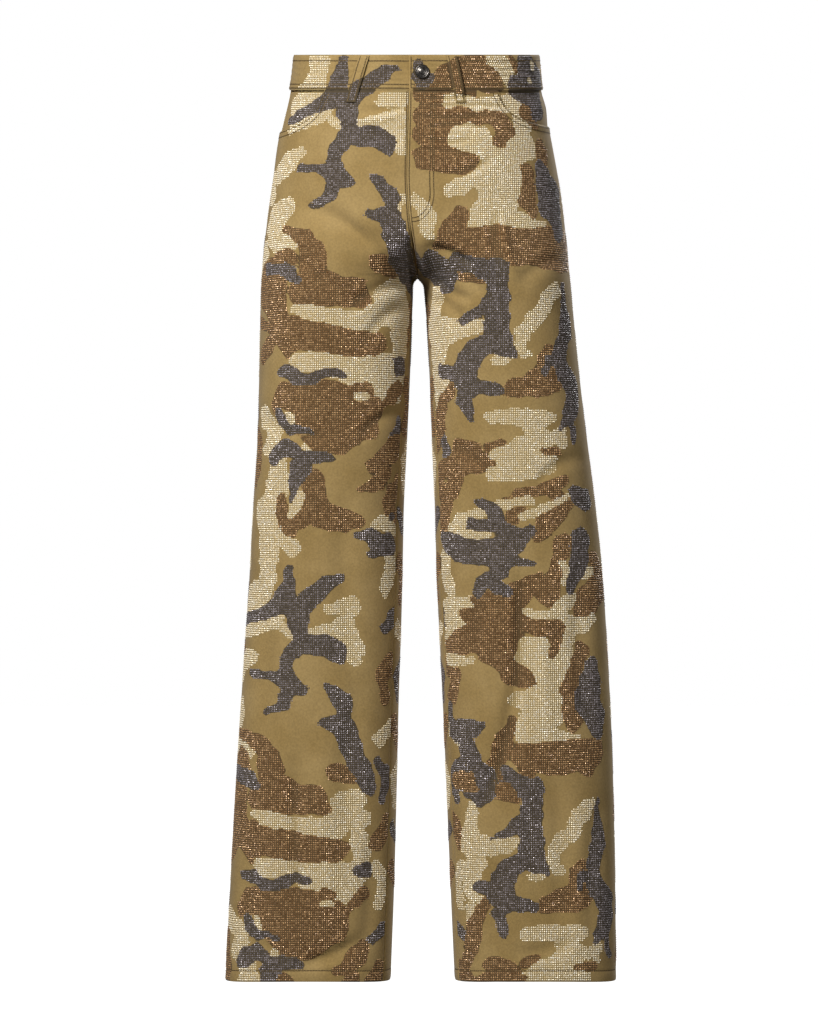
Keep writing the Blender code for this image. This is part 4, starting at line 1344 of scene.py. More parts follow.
class FacingPly(Ply):
    """The hip piece that shows in the scoop, just inside the front panel."""

    CUTS = np.array([1.1, 1, 0.86, 0.7, 0.52, 0.34, 0.17, 0])
    UNDERLAP = 14 * MM
    TOP = -CLOTH.band_height + 5 * MM

    def grid(self) -> Array:
        """Level rows from behind the band to under the scoop's edge."""
        size = self.half.size
        cuts = np.interp(np.linspace(0, 7, 36), np.arange(8), self.CUTS)
        height = np.linspace(self.TOP, size.scoop_bottom - self.UNDERLAP, 19)[:, None] + 0 * cuts
        return self.chart.spread(1 - size.scoop_width * cuts / self.chart.length(height), height)

    def free(self, u: Array, height: Array) -> Array:
        """Only in the scoop's opening."""
        front = FrontPly(self.name, self.chart, self.camouflage)
        shown = front.scoop(u, height) < -STONE.radius
        return super().free(u, height) & shown & (height < -CLOTH.band_height - STONE.margin)


class FlyPly(Ply):
    """The under part of the fly: a strip behind the lapped edge, from the band to the fly's end.

    Its u is the distance across the body from the centre seam, towards the wearer's left. It
    stands for the right front, with that panel's own cloth.
    """

    @property
    def cloth(self) -> str:
        """The name of the strip's cloth."""
        return "fly_underlap_cloth"

    def angle(self, u: Array, height: Array) -> Array:
        """The angle on the right half's section, carried past the middle."""
        return self.half.angle_at_x(self.half.middle(height) + u, height, Face.FRONT)

    def relief(self, u: Array, height: Array) -> Array:
        """None."""
        return np.zeros_like(u)

    def fine_grid(self) -> Array:
        """A narrow strip."""
        return pair(np.linspace(-7, 20, 12) * MM, np.linspace(-43, -212, 40)[:, None] * MM)

    def fields(self, u: Array, height: Array) -> Array:
        """Plain khaki: it carries no stones."""
        return np.full(u.shape + (3,), -Camouflage.FAR)

    def wrong_side(self, grid: Array) -> Array:
        """Points straight behind the right side."""
        return self.surface(grid[..., 0], grid[..., 1], -CLOTH.wall)

    def declare_sheet(self, thing: bpy.types.Object, grid: Array) -> None:
        """Log nothing; the strip lies on the right front."""


class PocketPly(Ply):
    """A patch pocket that follows the back panel, with a pointed lower edge."""

    TOP = -119 * MM
    SLANT = 6 * MM
    CORNER = -236 * MM
    TIP = 20 * MM
    FROM_SIDE = 120 * MM
    HALF_TOP = 69 * MM
    HALF_BOTTOM = 61 * MM
    LIFT = 2.3 * MM
    MARGIN = 1.5 * MM
    HEM_ROWS = (10 * MM, 15.5 * MM)

    @classmethod
    def shares(cls, chart: Chart, u: Array, height: Array) -> tuple[Array, Array]:
        """Shares across (-1 towards the centre, 1 towards the side) and down the pocket."""
        across = (u - (chart.length(height) - cls.FROM_SIDE)) / cls.HALF_TOP
        for _ in range(3):
            top = cls.TOP - cls.SLANT * across
            bottom = cls.CORNER - cls.TIP * (1 - np.minimum(np.abs(across), 1))
            down = (top - height) / (top - bottom)
            reach = cls.HALF_TOP + (cls.HALF_BOTTOM - cls.HALF_TOP) * np.clip(down, 0, 1)
            across = (u - (chart.length(height) - cls.FROM_SIDE)) / reach
        return across, down

    @classmethod
    def covers(cls, chart: Chart, u: Array, height: Array) -> Array:
        """Where the pocket lies over the panel, with a small margin."""
        across, down = cls.shares(chart, u, height)
        wide = 1 + cls.MARGIN / cls.HALF_BOTTOM
        tall = cls.MARGIN / (cls.TOP - cls.CORNER)
        return (np.abs(across) < wide) & (down > -tall) & (down < 1 + tall)

    def place(self, across: Array | float, down: Array | float) -> Array:
        """(u, height) pairs at shares across and down the pocket."""
        top = self.TOP - self.SLANT * across
        bottom = self.CORNER - self.TIP * (1 - np.abs(across))
        height = top + (bottom - top) * down
        reach = self.HALF_TOP + (self.HALF_BOTTOM - self.HALF_TOP) * down
        return pair(self.chart.length(height) - self.FROM_SIDE + reach * across, height)

    def grid(self) -> Array:
        """A level mesh of shares."""
        return self.place(*np.meshgrid(np.linspace(-1, 1, 31), np.linspace(0, 1, 26)))

    def relief(self, u: Array, height: Array) -> Array:
        """Rounded edges and a slight swell in the middle."""
        across, down = self.shares(self.chart, u, height)
        edge = np.minimum((1 - np.abs(across)) * self.HALF_BOTTOM, down * (self.TOP - self.CORNER))
        edge = np.minimum(edge, (1 - down) * (self.TOP - self.CORNER))
        return -0.5 * MM * bell(edge, 1.2 * MM) + 0.5 * MM * smooth_step(edge / (40 * MM))

    def free(self, u: Array, height: Array) -> Array:
        """On the pocket, off its edges."""
        across, down = self.shares(self.chart, u, height)
        side = (1 - np.abs(across)) * self.HALF_BOTTOM > STONE.margin
        ends = np.minimum(down, 1 - down) * (self.TOP - self.CORNER) > STONE.margin
        return side & ends

    def lines(self) -> list[Array]:
        """Stitches: two rows down the sides and along the point, two across the top hem."""
        found = []
        deep = self.TOP - self.CORNER
        for away in self.DOUBLE_ROWS:
            inset = 1 - away / self.HALF_BOTTOM
            low = 1 - away / deep
            down = np.linspace(0, low, 60)
            turn = [pair(-inset, down), pair(np.linspace(-inset, inset, 60), low), pair(inset, down[::-1])]
            found.append(self.place(*np.concatenate(turn).T))
        return found + [self.place(np.linspace(-0.98, 0.98, 60), away / deep) for away in self.HEM_ROWS]


# ---- the waistband

class BandPly(Ply):
    """One strip round the waist, its left end lapped over its right end.

    Its u is the length from the under end: 38 mm past the middle on the left, back over the middle,
    round the right side, the back and the left side, and over the middle again.
    """

    HIGH = 9
    LONG = 1400
    PROUD = 0.8 * MM
    OVER = 2.0 * MM
    UNDER = -0.5 * MM
    RAMP = 22 * MM
    UNDERLAP = 38 * MM
    BUTTON_ROOM = 9.4 * MM
    LOOP_ROOM = 7.5 * MM
    STITCHED = (-7 * MM, -35 * MM, -39.5 * MM)
    END_ROW = 2.4 * MM

    def __init__(self, halves: dict[LegSize, Half], paints: dict[tuple[LegSize, Face], Camouflage]) -> None:
        """Walk the waist at a few heights."""
        self.name = "waistband"
        self.paints = paints
        self.rows = np.linspace(0, -CLOTH.band_height, self.HIGH)
        table = []
        totals = []
        for height in self.rows:
            values, run = self.path(halves, float(height))
            place = np.linspace(0, run[-1], self.LONG)
            table.append(np.stack([np.interp(place, run, column) for column in values.T], axis=1))
            totals.append(run[-1])
        self.totals = np.array(totals)
        self.points = np.array(table)[..., :3]
        self.normals = unit(np.array(table)[..., 3:])

    def path(self, halves: dict[LegSize, Half], height: float) -> tuple[Array, Array]:
        """Points with their outward directions, and the running length, once round the waist."""
        left = halves[LEFT]
        under = left.angle_at_x(left.middle(height) + self.UNDERLAP, height, Face.FRONT)
        front = math.pi / 2
        stretches = (
            (left, np.linspace(under, front, 200, endpoint=False)),
            (halves[RIGHT], np.linspace(front, -front, 900, endpoint=False)),
            (left, np.linspace(-front, front, 900)),
        )
        point = np.concatenate([half.plain_point(a, height + 0 * a) for half, a in stretches])
        normal = np.concatenate([half.plain_normal(a, height + 0 * a) for half, a in stretches])
        return np.concatenate([point, normal], axis=1), running(point)

    def total(self, height: Array) -> Array:
        """The strip's length at a height."""
        return np.interp(-np.asarray(height), -self.rows, self.totals)

    def read(self, table: Array, u: Array, height: Array) -> Array:
        """A table of three values read at a length and a height."""
        u, height = np.broadcast_arrays(u, height)
        column = np.clip(u / self.total(height), 0, 1) * (self.LONG - 1)
        return between(table, np.clip(-height / CLOTH.band_height, 0, 1) * (self.HIGH - 1), column)

    def face(self, u: Array, height: Array) -> Array:
        """How far out the face lies: sunk under the lap, proud round the waist, out on it."""
        total = self.total(height)
        sunk = smooth_step((self.UNDERLAP + self.RAMP - u) / self.RAMP)
        over = smooth_step((u - (total - self.UNDERLAP - self.RAMP)) / self.RAMP)
        return self.PROUD + (self.UNDER - self.PROUD) * sunk + (self.OVER - self.PROUD) * over

    def relief(self, u: Array, height: Array) -> Array:
        """Rounded edges, slight waves along it, and the long wrinkles that wear presses into it."""
        edge = np.minimum(-height, height + CLOTH.band_height)
        worn = self.total(height) - u
        ends = np.minimum(u, worn)
        waves = 0.3 * MM * np.sin(u / (31 * MM)) * np.sin(height / (21 * MM)) * bell(edge - 20 * MM, 16 * MM)
        deep = 0.18 + 0.34 * bell(worn - 100 * MM, 62 * MM)
        lines = np.sin(height / (1.12 * MM) + 1.6 * np.sin(u / (23 * MM)) + 0.9 * np.sin(u / (9 * MM)))
        wrinkles = deep * MM * lines * bell(edge - 20 * MM, 15 * MM)
        along = np.sin(u / (4.1 * MM) + 1.7 * np.sin(u / (29 * MM)))
        pucker = 0.14 * MM * along * bell(edge - 4 * MM, 5 * MM)
        roll = 0.7 * MM * (bell(edge, 1.3 * MM) + bell(ends, 1.3 * MM))
        return waves + wrinkles + pucker - roll

    def surface(self, u: Array, height: Array, lift: Array | float = 0.0) -> Array:
        """Points of the right side, moved out by the lift."""
        out = self.face(u, height) + self.relief(u, height) + lift
        normal = self.read(self.normals, u, height)
        return self.read(self.points, u, height) + normal * np.asarray(out)[..., None]

    def directions(self, u: Array, height: Array) -> tuple[Array, Array, Array]:
        """Along, up and outward unit vectors."""
        along = unit(self.surface(u + self.STEP, height) - self.surface(u, height))
        normal = self.read(self.normals, u, height)
        normal = unit(normal - along * (normal * along).sum(axis=-1, keepdims=True))
        return along, np.cross(normal, along), normal

    def grid(self) -> Array:
        """Level rows along the whole strip."""
        height = np.linspace(0, -CLOTH.band_height, 29)[:, None]
        return pair(np.linspace(0, 1, 400) * self.total(height), height)

    def where(self, u: Array, height: Array) -> tuple[Array, Array]:
        """Signed length from the front middle, or from the back middle, and whether it is behind."""
        total = self.total(height)
        front = np.where(u < total / 2, self.UNDERLAP - u, total - u)
        waist = total - self.UNDERLAP
        behind = np.abs(front) > waist / 4
        return np.where(behind, np.sign(front) * (waist / 2 - np.abs(front)), front), behind

    def fields(self, u: Array, height: Array) -> Array:
        """The camouflage's fields, each quarter of the waist from its own face."""
        place, behind = self.where(u, height)
        flat = pair(CLOTH.centre + place, self.read(self.points, u, height)[..., 2])
        result = np.full(place.shape + (3,), -Camouflage.FAR)
        for (size, face), paint in self.paints.items():
            here = (behind == (face is Face.BACK)) & (np.sign(place) == size.side.value)
            result[here] = paint.fields(flat[here])
        return result

    def free(self, u: Array, height: Array) -> Array:
        """Off the edges, the hidden underlap, the button and the loops."""
        x, y, _ = np.moveaxis(self.read(self.points, u, height), -1, 0)
        inside = (height < -STONE.margin) & (height > -CLOTH.band_height + STONE.margin)
        inside &= (u > self.UNDERLAP + 2 * MM) & (u < self.total(height) - STONE.margin)
        inside &= (np.hypot(x - Button.x, height - Button.height) >= self.BUTTON_ROOM) | (y >= 0)
        for loop in LOOPS:
            inside &= ((y > 0) != loop.behind) | (np.abs(x - loop.x_at(height)) >= self.LOOP_ROOM)
        return inside

    def lines(self) -> list[Array]:
        """Stitches: a row near the top edge, two near the bottom and one down the lapped end."""
        found = []
        for height in self.STITCHED:
            found.append(pair(np.linspace(self.UNDERLAP, self.total(height) - self.END_ROW, 1200), height))
        down = np.linspace(-self.END_ROW, self.END_ROW - CLOTH.band_height, 40)
        return found + [pair(self.total(down) - self.END_ROW, down)]


# ---- belt loops


# Down a belt loop: millimetres of height, share over the band, share of its stand
LOOP_ROWS = (
    (-1, 1, 0), (-5, 1, 0.6), (-14, 1, 1), (-28, 1, 1),
    (-38, 1, 0.8), (-45, 1, 0.1), (-51, 0, 0), (-57, 0, 0),
)


@dataclass(frozen=True)
class Loop:
    """A belt loop's node, its half, its place across the body at both ends, and the band's face."""

    name: str
    size: LegSize
    x_top: float
    x_tail: float
    behind: bool
    face: float

    def x_at(self, height: Array) -> Array:
        """The loop's middle line across the body, straight from its top row to its last."""
        top, tail = LOOP_ROWS[0][0], LOOP_ROWS[-1][0]
        run = np.clip((np.asarray(height) / MM - top) / (tail - top), 0, 1)
        return self.x_top + (self.x_tail - self.x_top) * run


LOOPS = (
    Loop("belt_loop_front_right", RIGHT, -60 * MM, -76 * MM, False, 0.8 * MM),
    Loop("belt_loop_front_left", LEFT, 41 * MM, 52 * MM, False, 2.0 * MM),
    Loop("belt_loop_side_right", RIGHT, -112 * MM, -114 * MM, True, 0.8 * MM),
    Loop("belt_loop_side_left", LEFT, 106 * MM, 108 * MM, True, 0.8 * MM),
    Loop("belt_loop_back", LEFT, -8 * MM, -8 * MM, True, 0.8 * MM),
)


class LoopPly(Ply):
    """A belt loop: flat on the band's top edge, standing off it, flat again on its tail.

    Its u runs across the loop from its middle line and its height down it.
    """

    STEP = 0.5 * MM
    TURN = 0.02
    WIDTH = 12 * MM
    LENGTH = 58 * MM
    WALL = 1.3 * MM
    STAND = 1.5 * MM
    TAIL_LIFT = 0.6 * MM
    LIFT = 0.3 * MM
    ROW = 3.9 * MM
    TOP = -1 * MM
    TAIL = -57 * MM
    ACROSS = np.array([-1, -0.9, -0.72, -0.4, 0, 0.4, 0.72, 0.9, 1])

    def __init__(self, loop: Loop, chart: Chart, camouflage: Camouflage) -> None:
        """Keep the loop."""
        super().__init__(loop.name, chart, camouflage)
        self.loop = loop

    def lift_at(self, height: Array) -> Array:
        """How far the wrong side lies from the garment's surface, through the table's rows."""
        z, over, stand = np.array(LOOP_ROWS[::-1]).T
        lifts = over * (self.loop.face + self.LIFT) + (1 - over) * self.TAIL_LIFT + stand * self.STAND
        return np.interp(height, z * MM, lifts)

    def angle(self, u: Array, height: Array) -> Array:
        """The angle at a distance from the loop's middle line."""
        middle = self.half.angle_at_x(self.loop.x_at(height), height, self.chart.face)
        here = self.half.plain_point(middle, height)
        beside = self.half.plain_point(middle + self.TURN, height)
        return middle + u * self.TURN / np.linalg.norm(beside - here, axis=-1)

    def relief(self, u: Array, height: Array) -> Array:
        """The wall over the loop's stand; the long edges round off and stitches press it in."""
        edge = self.WIDTH / 2 - np.abs(u)
        rounded = -0.45 * MM * bell(edge, 0.9 * MM) - 0.2 * MM * bell(edge - 2.2 * MM, 0.8 * MM)
        return self.lift_at(height) + self.WALL + rounded

    def fine_grid(self) -> Array:
        """A narrow strip of nine lines, close together at the edges."""
        return pair(self.ACROSS * self.WIDTH / 2, np.linspace(self.TOP, self.TAIL, 43)[:, None])

    grid = fine_grid

    def free(self, u: Array, height: Array) -> Array:
        """Off the edges and both ends."""
        inside = np.abs(u) < self.WIDTH / 2 - STONE.margin
        return inside & (height < self.TOP - 2 * MM) & (height > self.TAIL + 2 * MM)

    def fields(self, u: Array, height: Array) -> Array:
        """The camouflage at the loop's own place."""
        return self.camouflage.fields(self.half.plain_point(self.angle(u, height), height)[..., ::2])

    def wrong_side(self, grid: Array) -> Array:
        """Points on the garment or standing off it."""
        u, height = grid[..., 0], grid[..., 1]
        return self.half.cloth_point(self.angle(u, height), height, self.lift_at(height))

    def declare_sheet(self, thing: bpy.types.Object, grid: Array) -> None:
        """Log nothing; the loop lies on the band."""

    def lines(self) -> list[Array]:
        """Stitches: a row along each long edge."""
        down = np.linspace(self.TOP - 1 * MM, self.TAIL + 1 * MM, 60)
        return [pair(side * self.ROW, down) for side in (-1, 1)]


# ---- rhinestones

@dataclass(frozen=True)
class StoneSize:
    """Sizes of the heat-fixed rhinestones and their square grid."""

    pitch: float = 2.55 * MM
    radius: float = 1.14 * MM
    height: float = 0.7 * MM
    sink: float = 0.15 * MM
    margin: float = 1.4 * MM


STONE = StoneSize()


class Stones:
    """Rhinestones on the upright lines and level rows of the camouflage's own plane.

    Each is a six-sided pyramid: a ring r(cos a, sin a) turned by chance, and an apex a little off
    its middle, so that every stone catches the light in its own way.
    """

    SIDES = 6
    COLUMNS = np.arange(-160, 161)
    JITTER = 0.18 * MM
    TILT = 0.7 * MM

    def grid_on(self, ply: Ply) -> tuple[Array, Array]:
        """The grid's places on a cut piece, as lengths along the cloth and heights."""
        edge, high = np.moveaxis(ply.grid(), -1, 0) / STONE.pitch
        rows = np.arange(math.ceil(high.min()), math.floor(high.max()) + 1) * STONE.pitch
        if isinstance(ply, (BandPly, LoopPly)):
            columns = (np.arange(edge.min(), edge.max()) + 0.5) * STONE.pitch
            return tuple(value.ravel() for value in np.meshgrid(columns, rows))
        x, height = (value.ravel() for value in np.meshgrid(self.COLUMNS * STONE.pitch, rows))
        u = ply.chart.quarter(height) + ply.half.sign * (x - ply.half.section(height)[0])
        inside = (u > 0) & (u < ply.chart.length(height))
        return u[inside], height[inside]

    def build(self, ply: Ply, finishes: list["Rhinestone"]) -> None:
        """Make all stones of one cut piece as a joined mesh, where its camouflage has any."""
        u, height = self.grid_on(ply)
        keep = ply.free(u, height)
        u, height = u[keep], height[keep]
        fields = ply.fields(u, height)
        keep = fields.max(axis=1) > 0
        u, height, paint = u[keep], height[keep], fields.argmax(axis=1)[keep]
        if len(u) == 0:
            return
        chance = [hashed(u / MM, height / MM, np.full_like(u, k)) for k in range(6)]
        u = u + (chance[0] - 0.5) * self.JITTER
        height = height + (chance[1] - 0.5) * self.JITTER
        centre = ply.surface(u, height)
        along, up, normal = ply.directions(u, height)
        k = np.arange(self.SIDES)
        angles = (chance[2] * math.tau)[:, None] + k * math.tau / self.SIDES
        ring = along[:, None] * np.cos(angles)[..., None] + up[:, None] * np.sin(angles)[..., None]
        ring = centre[:, None] + ring * STONE.radius - normal[:, None] * STONE.sink
        tilt = along * (chance[3] - 0.5)[:, None] + up * (chance[4] - 0.5)[:, None]
        apex = centre + normal * STONE.height + tilt * self.TILT
        points = np.concatenate([ring, apex[:, None]], axis=1).reshape(-1, 3)
        fan = np.stack([k, (k + 1) % self.SIDES, np.full_like(k, self.SIDES)], axis=1)
        faces = repeated(fan, len(u), self.SIDES + 1)
        # A random lightness for each stone, and a little for each face, which the stone materials show as
        # painted glints
        glint = np.repeat(chance[5], self.SIDES) * 0.7 + 0.3 * hashed(np.arange(len(faces)) * 0.37)
        if np.cross(along[0], up[0]) @ normal[0] < 0:
            faces = faces[:, ::-1]
        thing = link_parts(ply.name + "_stones", points, faces, [f.material for f in finishes],
                           np.repeat(paint, self.SIDES), glint)
        thing.data.shade_flat()
        declare(thing, ply.name)
        LOG.info("%s: %d stones", ply.name, len(u))


# ---- stitches

class Stitching:
    """Lockstitches: spindles of four sides that dip into the cloth at both ends, over a flat dark strip of
    painted shade.
    """

    PITCH = 3.3 * MM
    WIDE = 0.36 * MM
    HIGH = 0.26 * MM
    SHADE_HALF_WIDTH = 0.62 * MM
    DIP = 0.12 * MM
    RISE = 0.18 * MM
    OVER = 0.2 * MM
    SHARES = np.array([0.12, 0.88, 0.0, 1.0])
    RINGS = (0.28, 0.72)

    def marks(self, line: Array) -> Array:
        """For every stitch of a line: its start, its end, and both ends of its share of the line."""
        run = running(line)
        count = max(int(run[-1] / self.PITCH), 1)
        place = (np.arange(count)[:, None] + self.SHARES) * (run[-1] / count)
        return np.stack([np.interp(place, run, line[:, k]) for k in range(2)], axis=-1)

    def build(self, ply: Ply, finish: "Thread") -> None:
        """Make all the stitches of a piece as one mesh."""
        lines = ply.lines()
        if not lines:
            return
        marks = np.concatenate([self.marks(line) for line in lines])
        start, end, near, far = marks.transpose(1, 2, 0)
        _, _, normal = ply.directions(*(start + end) / 2)
        tip_a = ply.surface(*start, -self.DIP)
        tip_b = ply.surface(*end, -self.DIP)
        span = tip_b - tip_a
        side = unit(np.cross(unit(span), normal))
        rings = []
        for share in self.RINGS:
            centre = tip_a + span * share + normal * self.RISE
            for out, across in ((0, 1), (1, 0), (0, -1), (-1, 0)):
                rings.append(centre + normal * out * self.HIGH + side * across * self.WIDE)
        points = np.stack([tip_a, *rings, tip_b], axis=1).reshape(-1, 3)
        k = np.arange(4)
        after = (k + 1) % 4
        spindle = np.concatenate([
            np.stack([0 * k, 1 + after, 1 + k], axis=1), np.stack([1 + k, 1 + after, 5 + after], axis=1),
            np.stack([1 + k, 5 + after, 5 + k], axis=1), np.stack([5 + k, 5 + after, 0 * k + 9], axis=1),
        ])
        faces = repeated(spindle, len(marks), 10)[:, ::-1]
        # A flat strip just over the cloth under each stitch, in the dark shade material: painted shade of the
        # stitch line's groove
        a, b = ply.surface(*near, self.OVER), ply.surface(*far, self.OVER)
        wide = side * self.SHADE_HALF_WIDTH
        groove = np.stack([a - wide, a + wide, b + wide, b - wide], axis=1).reshape(-1, 3)
        flat = repeated(np.array([[0, 1, 2], [0, 2, 3]]), len(marks), 4)
        if np.cross(groove[1] - groove[0], groove[2] - groove[0]) @ normal[0] < 0:
            flat = flat[:, ::-1]
        thing = link_parts(ply.name + "_stitches", np.concatenate([points, groove]),
                           np.concatenate([faces, flat + len(points)]), [finish.material, finish.shade],
                           np.repeat([0, 1], [len(faces), len(flat)]))
        declare(thing, ply.name)


# ---- the button

@dataclass
class Button:
    """The waistband's button: turned profile rings about the band's outward direction."""

    x: float = 7 * MM
    height: float = -20 * MM
    seat: float = 2.3 * MM
    top: float = 2.98 * MM
    sides: int = 64
    profile: tuple = (
        (6.2, 0.0), (6.4, 0.1), (8.0, 0.6), (8.4, 1.0), (8.4, 1.4), (8.1, 1.85), (7.7, 2.2), (7.3, 2.35),
        (6.9, 2.3), (6.6, 1.95), (6.3, 1.85), (5.6, 1.85), (5.3, 2.05), (5.0, 2.1), (4.7, 1.9), (4.4, 1.9),
        (3.9, 2.35), (3.0, 2.65), (2.0, 2.85), (1.0, 2.95),
    )

    def build(self, half: Half, finish: "Gunmetal") -> None:
        """Spin the profile into a closed lathe: a rim roll, a groove, a bead and a plain dome."""
        height = np.array(self.height)
        angle = half.angle_at_x(np.array(self.x), height, Face.FRONT)
        axis = half.plain_normal(angle, height)
        seat = half.plain_point(angle, height) + axis * self.seat
        across = unit(np.cross(axis, [0, 0, 1]))
        turn = math.tau * np.arange(self.sides) / self.sides
        spokes = across * np.cos(turn)[:, None] + np.cross(across, axis) * np.sin(turn)[:, None]
        profile = np.array(self.profile) * MM
        rings = seat + spokes * profile[:, None, :1] + axis * profile[:, None, 1:]
        points = np.concatenate([[seat], rings.reshape(-1, 3), [seat + axis * self.top]])
        k = np.arange(self.sides)
        after = (k + 1) % self.sides
        last = 1 + (len(profile) - 1) * self.sides
        strip = np.concatenate([np.stack([k, k + self.sides, after + self.sides], axis=1),
                                np.stack([k, after + self.sides, after], axis=1)])
        faces = np.concatenate([
            np.stack([0 * k, 1 + k, 1 + after], axis=1),
            repeated(strip, len(profile) - 1, self.sides) + 1,
            np.stack([last + after, last + k, 0 * k + len(points) - 1], axis=1),
        ])
        corner = points[faces]
        normal = np.cross(corner[:, 1] - corner[:, 0], corner[:, 2] - corner[:, 0])
        if (normal * (corner.mean(axis=1) - points.mean(axis=0))).sum() < 0:
            faces = faces[:, ::-1]
        thing = link_mesh("button_turned", points, faces, [finish.material])
        thing.data.set_sharp_from_angle(angle=SHARP)
        declare(thing, "button")


# ---- materials

Socket = bpy.types.NodeSocket


def linear_rgba(hex_colour: str) -> tuple[float, float, float, float]:
    """An sRGB hex colour as linear light with full alpha."""
    values = [int(hex_colour[k:k + 2], 16) / 255 for k in (0, 2, 4)]
    values = [v / 12.92 if v <= 0.04045 else ((v + 0.055) / 1.055) ** 2.4 for v in values]
    return (*values, 1.0)


def new_material(name: str) -> tuple[bpy.types.Material, bpy.types.NodeTree, bpy.types.Node]:
    """A node material with its tree and shader."""
    material = bpy.data.materials.new(name)
    material.use_nodes = True
    tree = material.node_tree
    return material, tree, tree.nodes["Principled BSDF"]


def fill(tree: bpy.types.NodeTree, socket: Socket, value: "float | tuple | Socket") -> None:
    """Give an input a value or link another node's output to it."""
    if isinstance(value, Socket):
        tree.links.new(value, socket)
    else:
        socket.default_value = value


def add_node(tree: bpy.types.NodeTree, kind: str, props: dict | None = None, **inputs) -> bpy.types.Node:
    """A node with its properties and inputs set; an input may be a value or another node's output.

    Args:
        tree: The tree that gets it.
        kind: The node's type.
        props: Its own settings.
        **inputs: Socket names with _ for spaces, or i0, i1 and so on for a socket's number.

    Returns:
        The node.
    """
    node = tree.nodes.new(kind)
    for key, value in (props or {}).items():
        setattr(node, key, value)
    for key, value in inputs.items():
        numbered = key[0] == "i" and key[1:].isdigit()
        fill(tree, node.inputs[int(key[1:])] if numbered else node.inputs[key.replace("_", " ")], value)
    return node


def noise(tree: bpy.types.NodeTree, scale: float, detail: float) -> Socket:
    """Soft noise fixed to the object, with so many cells a metre."""
    place = add_node(tree, "ShaderNodeTexCoord").outputs["Object"]
    return add_node(tree, "ShaderNodeTexNoise", Vector=place, Scale=scale, Detail=detail).outputs["Fac"]


def settle(shader: bpy.types.Node, **values) -> None:
    """Set a shader's own sockets to constants; _ stands for a space."""
    for key, value in values.items():
        shader.inputs[key.replace("_", " ")].default_value = value


def mixed(tree: bpy.types.NodeTree, share: "float | Socket", first: "tuple | Socket",
          second: "tuple | Socket", blend: str = "MIX") -> "Socket":
    """A colour mix by a share."""
    node = add_node(tree, "ShaderNodeMix", {"data_type": "RGBA", "blend_type": blend})
    for key, value in (("Factor", share), ("A", first), ("B", second)):
        fill(tree, next(s for s in node.inputs if s.name == key and s.enabled), value)
    return next(s for s in node.outputs if s.enabled)


def ranged(tree: bpy.types.NodeTree, value: "Socket", low: float, high: float, start: float,
           end: float) -> "Socket":
    """A value mapped from one range to another and kept in it."""
    return add_node(tree, "ShaderNodeMapRange", Value=value, From_Min=low, From_Max=high,
                    To_Min=start, To_Max=end).outputs["Result"]


@dataclass
class Twill:
    """Khaki cotton twill: matt, with a fine diagonal rib, uneven garment dye and painted shade between the
    stones.
    """

    name: str = "khaki cotton twill"
    colour: str = "8d7444"
    faded: str = "9a8151"
    rib: float = 0.9 * MM
    ground_shade_and_glue: tuple = (("Red", "8f7c52"), ("Green", "43301c"), ("Blue", "2b2723"))
    material: bpy.types.Material = field(init=False)

    def __post_init__(self) -> None:
        """Build the node tree."""
        self.material, tree, shader = new_material(self.name)
        # Garment dye takes unevenly, in clouds a few centimetres wide
        slubs = noise(tree, 420.0, 3.0)
        dye = ranged(tree, noise(tree, 22.0, 4.0), 0.35, 0.65, 0.0, 1.0)
        colour = mixed(tree, dye, linear_rgba(self.colour), linear_rgba(self.faded))
        grain = ranged(tree, slubs, 0.3, 0.7, 0.86, 1.1)
        grey = add_node(tree, "ShaderNodeCombineColor", Red=grain, Green=grain, Blue=grain)
        colour = mixed(tree, 1.0, colour, grey.outputs["Color"], "MULTIPLY")
        # Painted shade: the cloth between the stones is darkened as if in their shadow, partly tinted like
        # their glue
        ground = add_node(tree, "ShaderNodeAttribute", {"attribute_name": "ground"}).outputs["Color"]
        parts = add_node(tree, "ShaderNodeSeparateColor", Color=ground)
        for channel, shade in self.ground_shade_and_glue:
            share = ranged(tree, parts.outputs[channel], 0.48, 0.53, 0.0, 0.85)
            colour = mixed(tree, share, colour, linear_rgba(shade))
        tree.links.new(colour, shader.inputs["Base Color"])
        # The diagonal rib of twill, along the piece's own threads
        uv = add_node(tree, "ShaderNodeUVMap", {"uv_map": "cloth"}).outputs["UV"]
        turned = add_node(tree, "ShaderNodeMapping", Vector=uv, Rotation=(0, 0, math.radians(63)))
        rib = add_node(tree, "ShaderNodeTexWave", {"wave_profile": "SIN"}, Vector=turned.outputs["Vector"],
                       Scale=0.314 / self.rib, Distortion=1.2, Detail=2.0).outputs["Fac"]
        rough = add_node(tree, "ShaderNodeMath", {"operation": "MULTIPLY_ADD"}, i0=slubs, i1=0.8, i2=rib)
        bump = add_node(tree, "ShaderNodeBump", Height=rough.outputs["Value"], Strength=0.35,
                        Distance=0.12 * MM)
        tree.links.new(bump.outputs["Normal"], shader.inputs["Normal"])
        settle(shader, Roughness=0.86, Specular_IOR_Level=0.25, Sheen_Weight=0.12, Sheen_Roughness=0.5)


@dataclass
class Thread:
    """Tonal polyester topstitching: a little darker and shinier than the cloth."""

    colour: str = "8a7142"
    # The colour of a dark strip under the stitches: painted shade of the groove they pull into the cloth
    groove: str = "4f3e20"
    material: bpy.types.Material = field(init=False)
    shade: bpy.types.Material = field(init=False)

    def __post_init__(self) -> None:
        """Build the thread, and the painted shade of the cloth that it pulls down beside it."""
        self.shade, _, shader = new_material("painted shade beside stitches")
        settle(shader, Base_Color=linear_rgba(self.groove), Roughness=0.9)
        self.material, _, shader = new_material("khaki polyester thread")
        settle(shader, Base_Color=linear_rgba(self.colour), Roughness=0.55, Specular_IOR_Level=0.4)


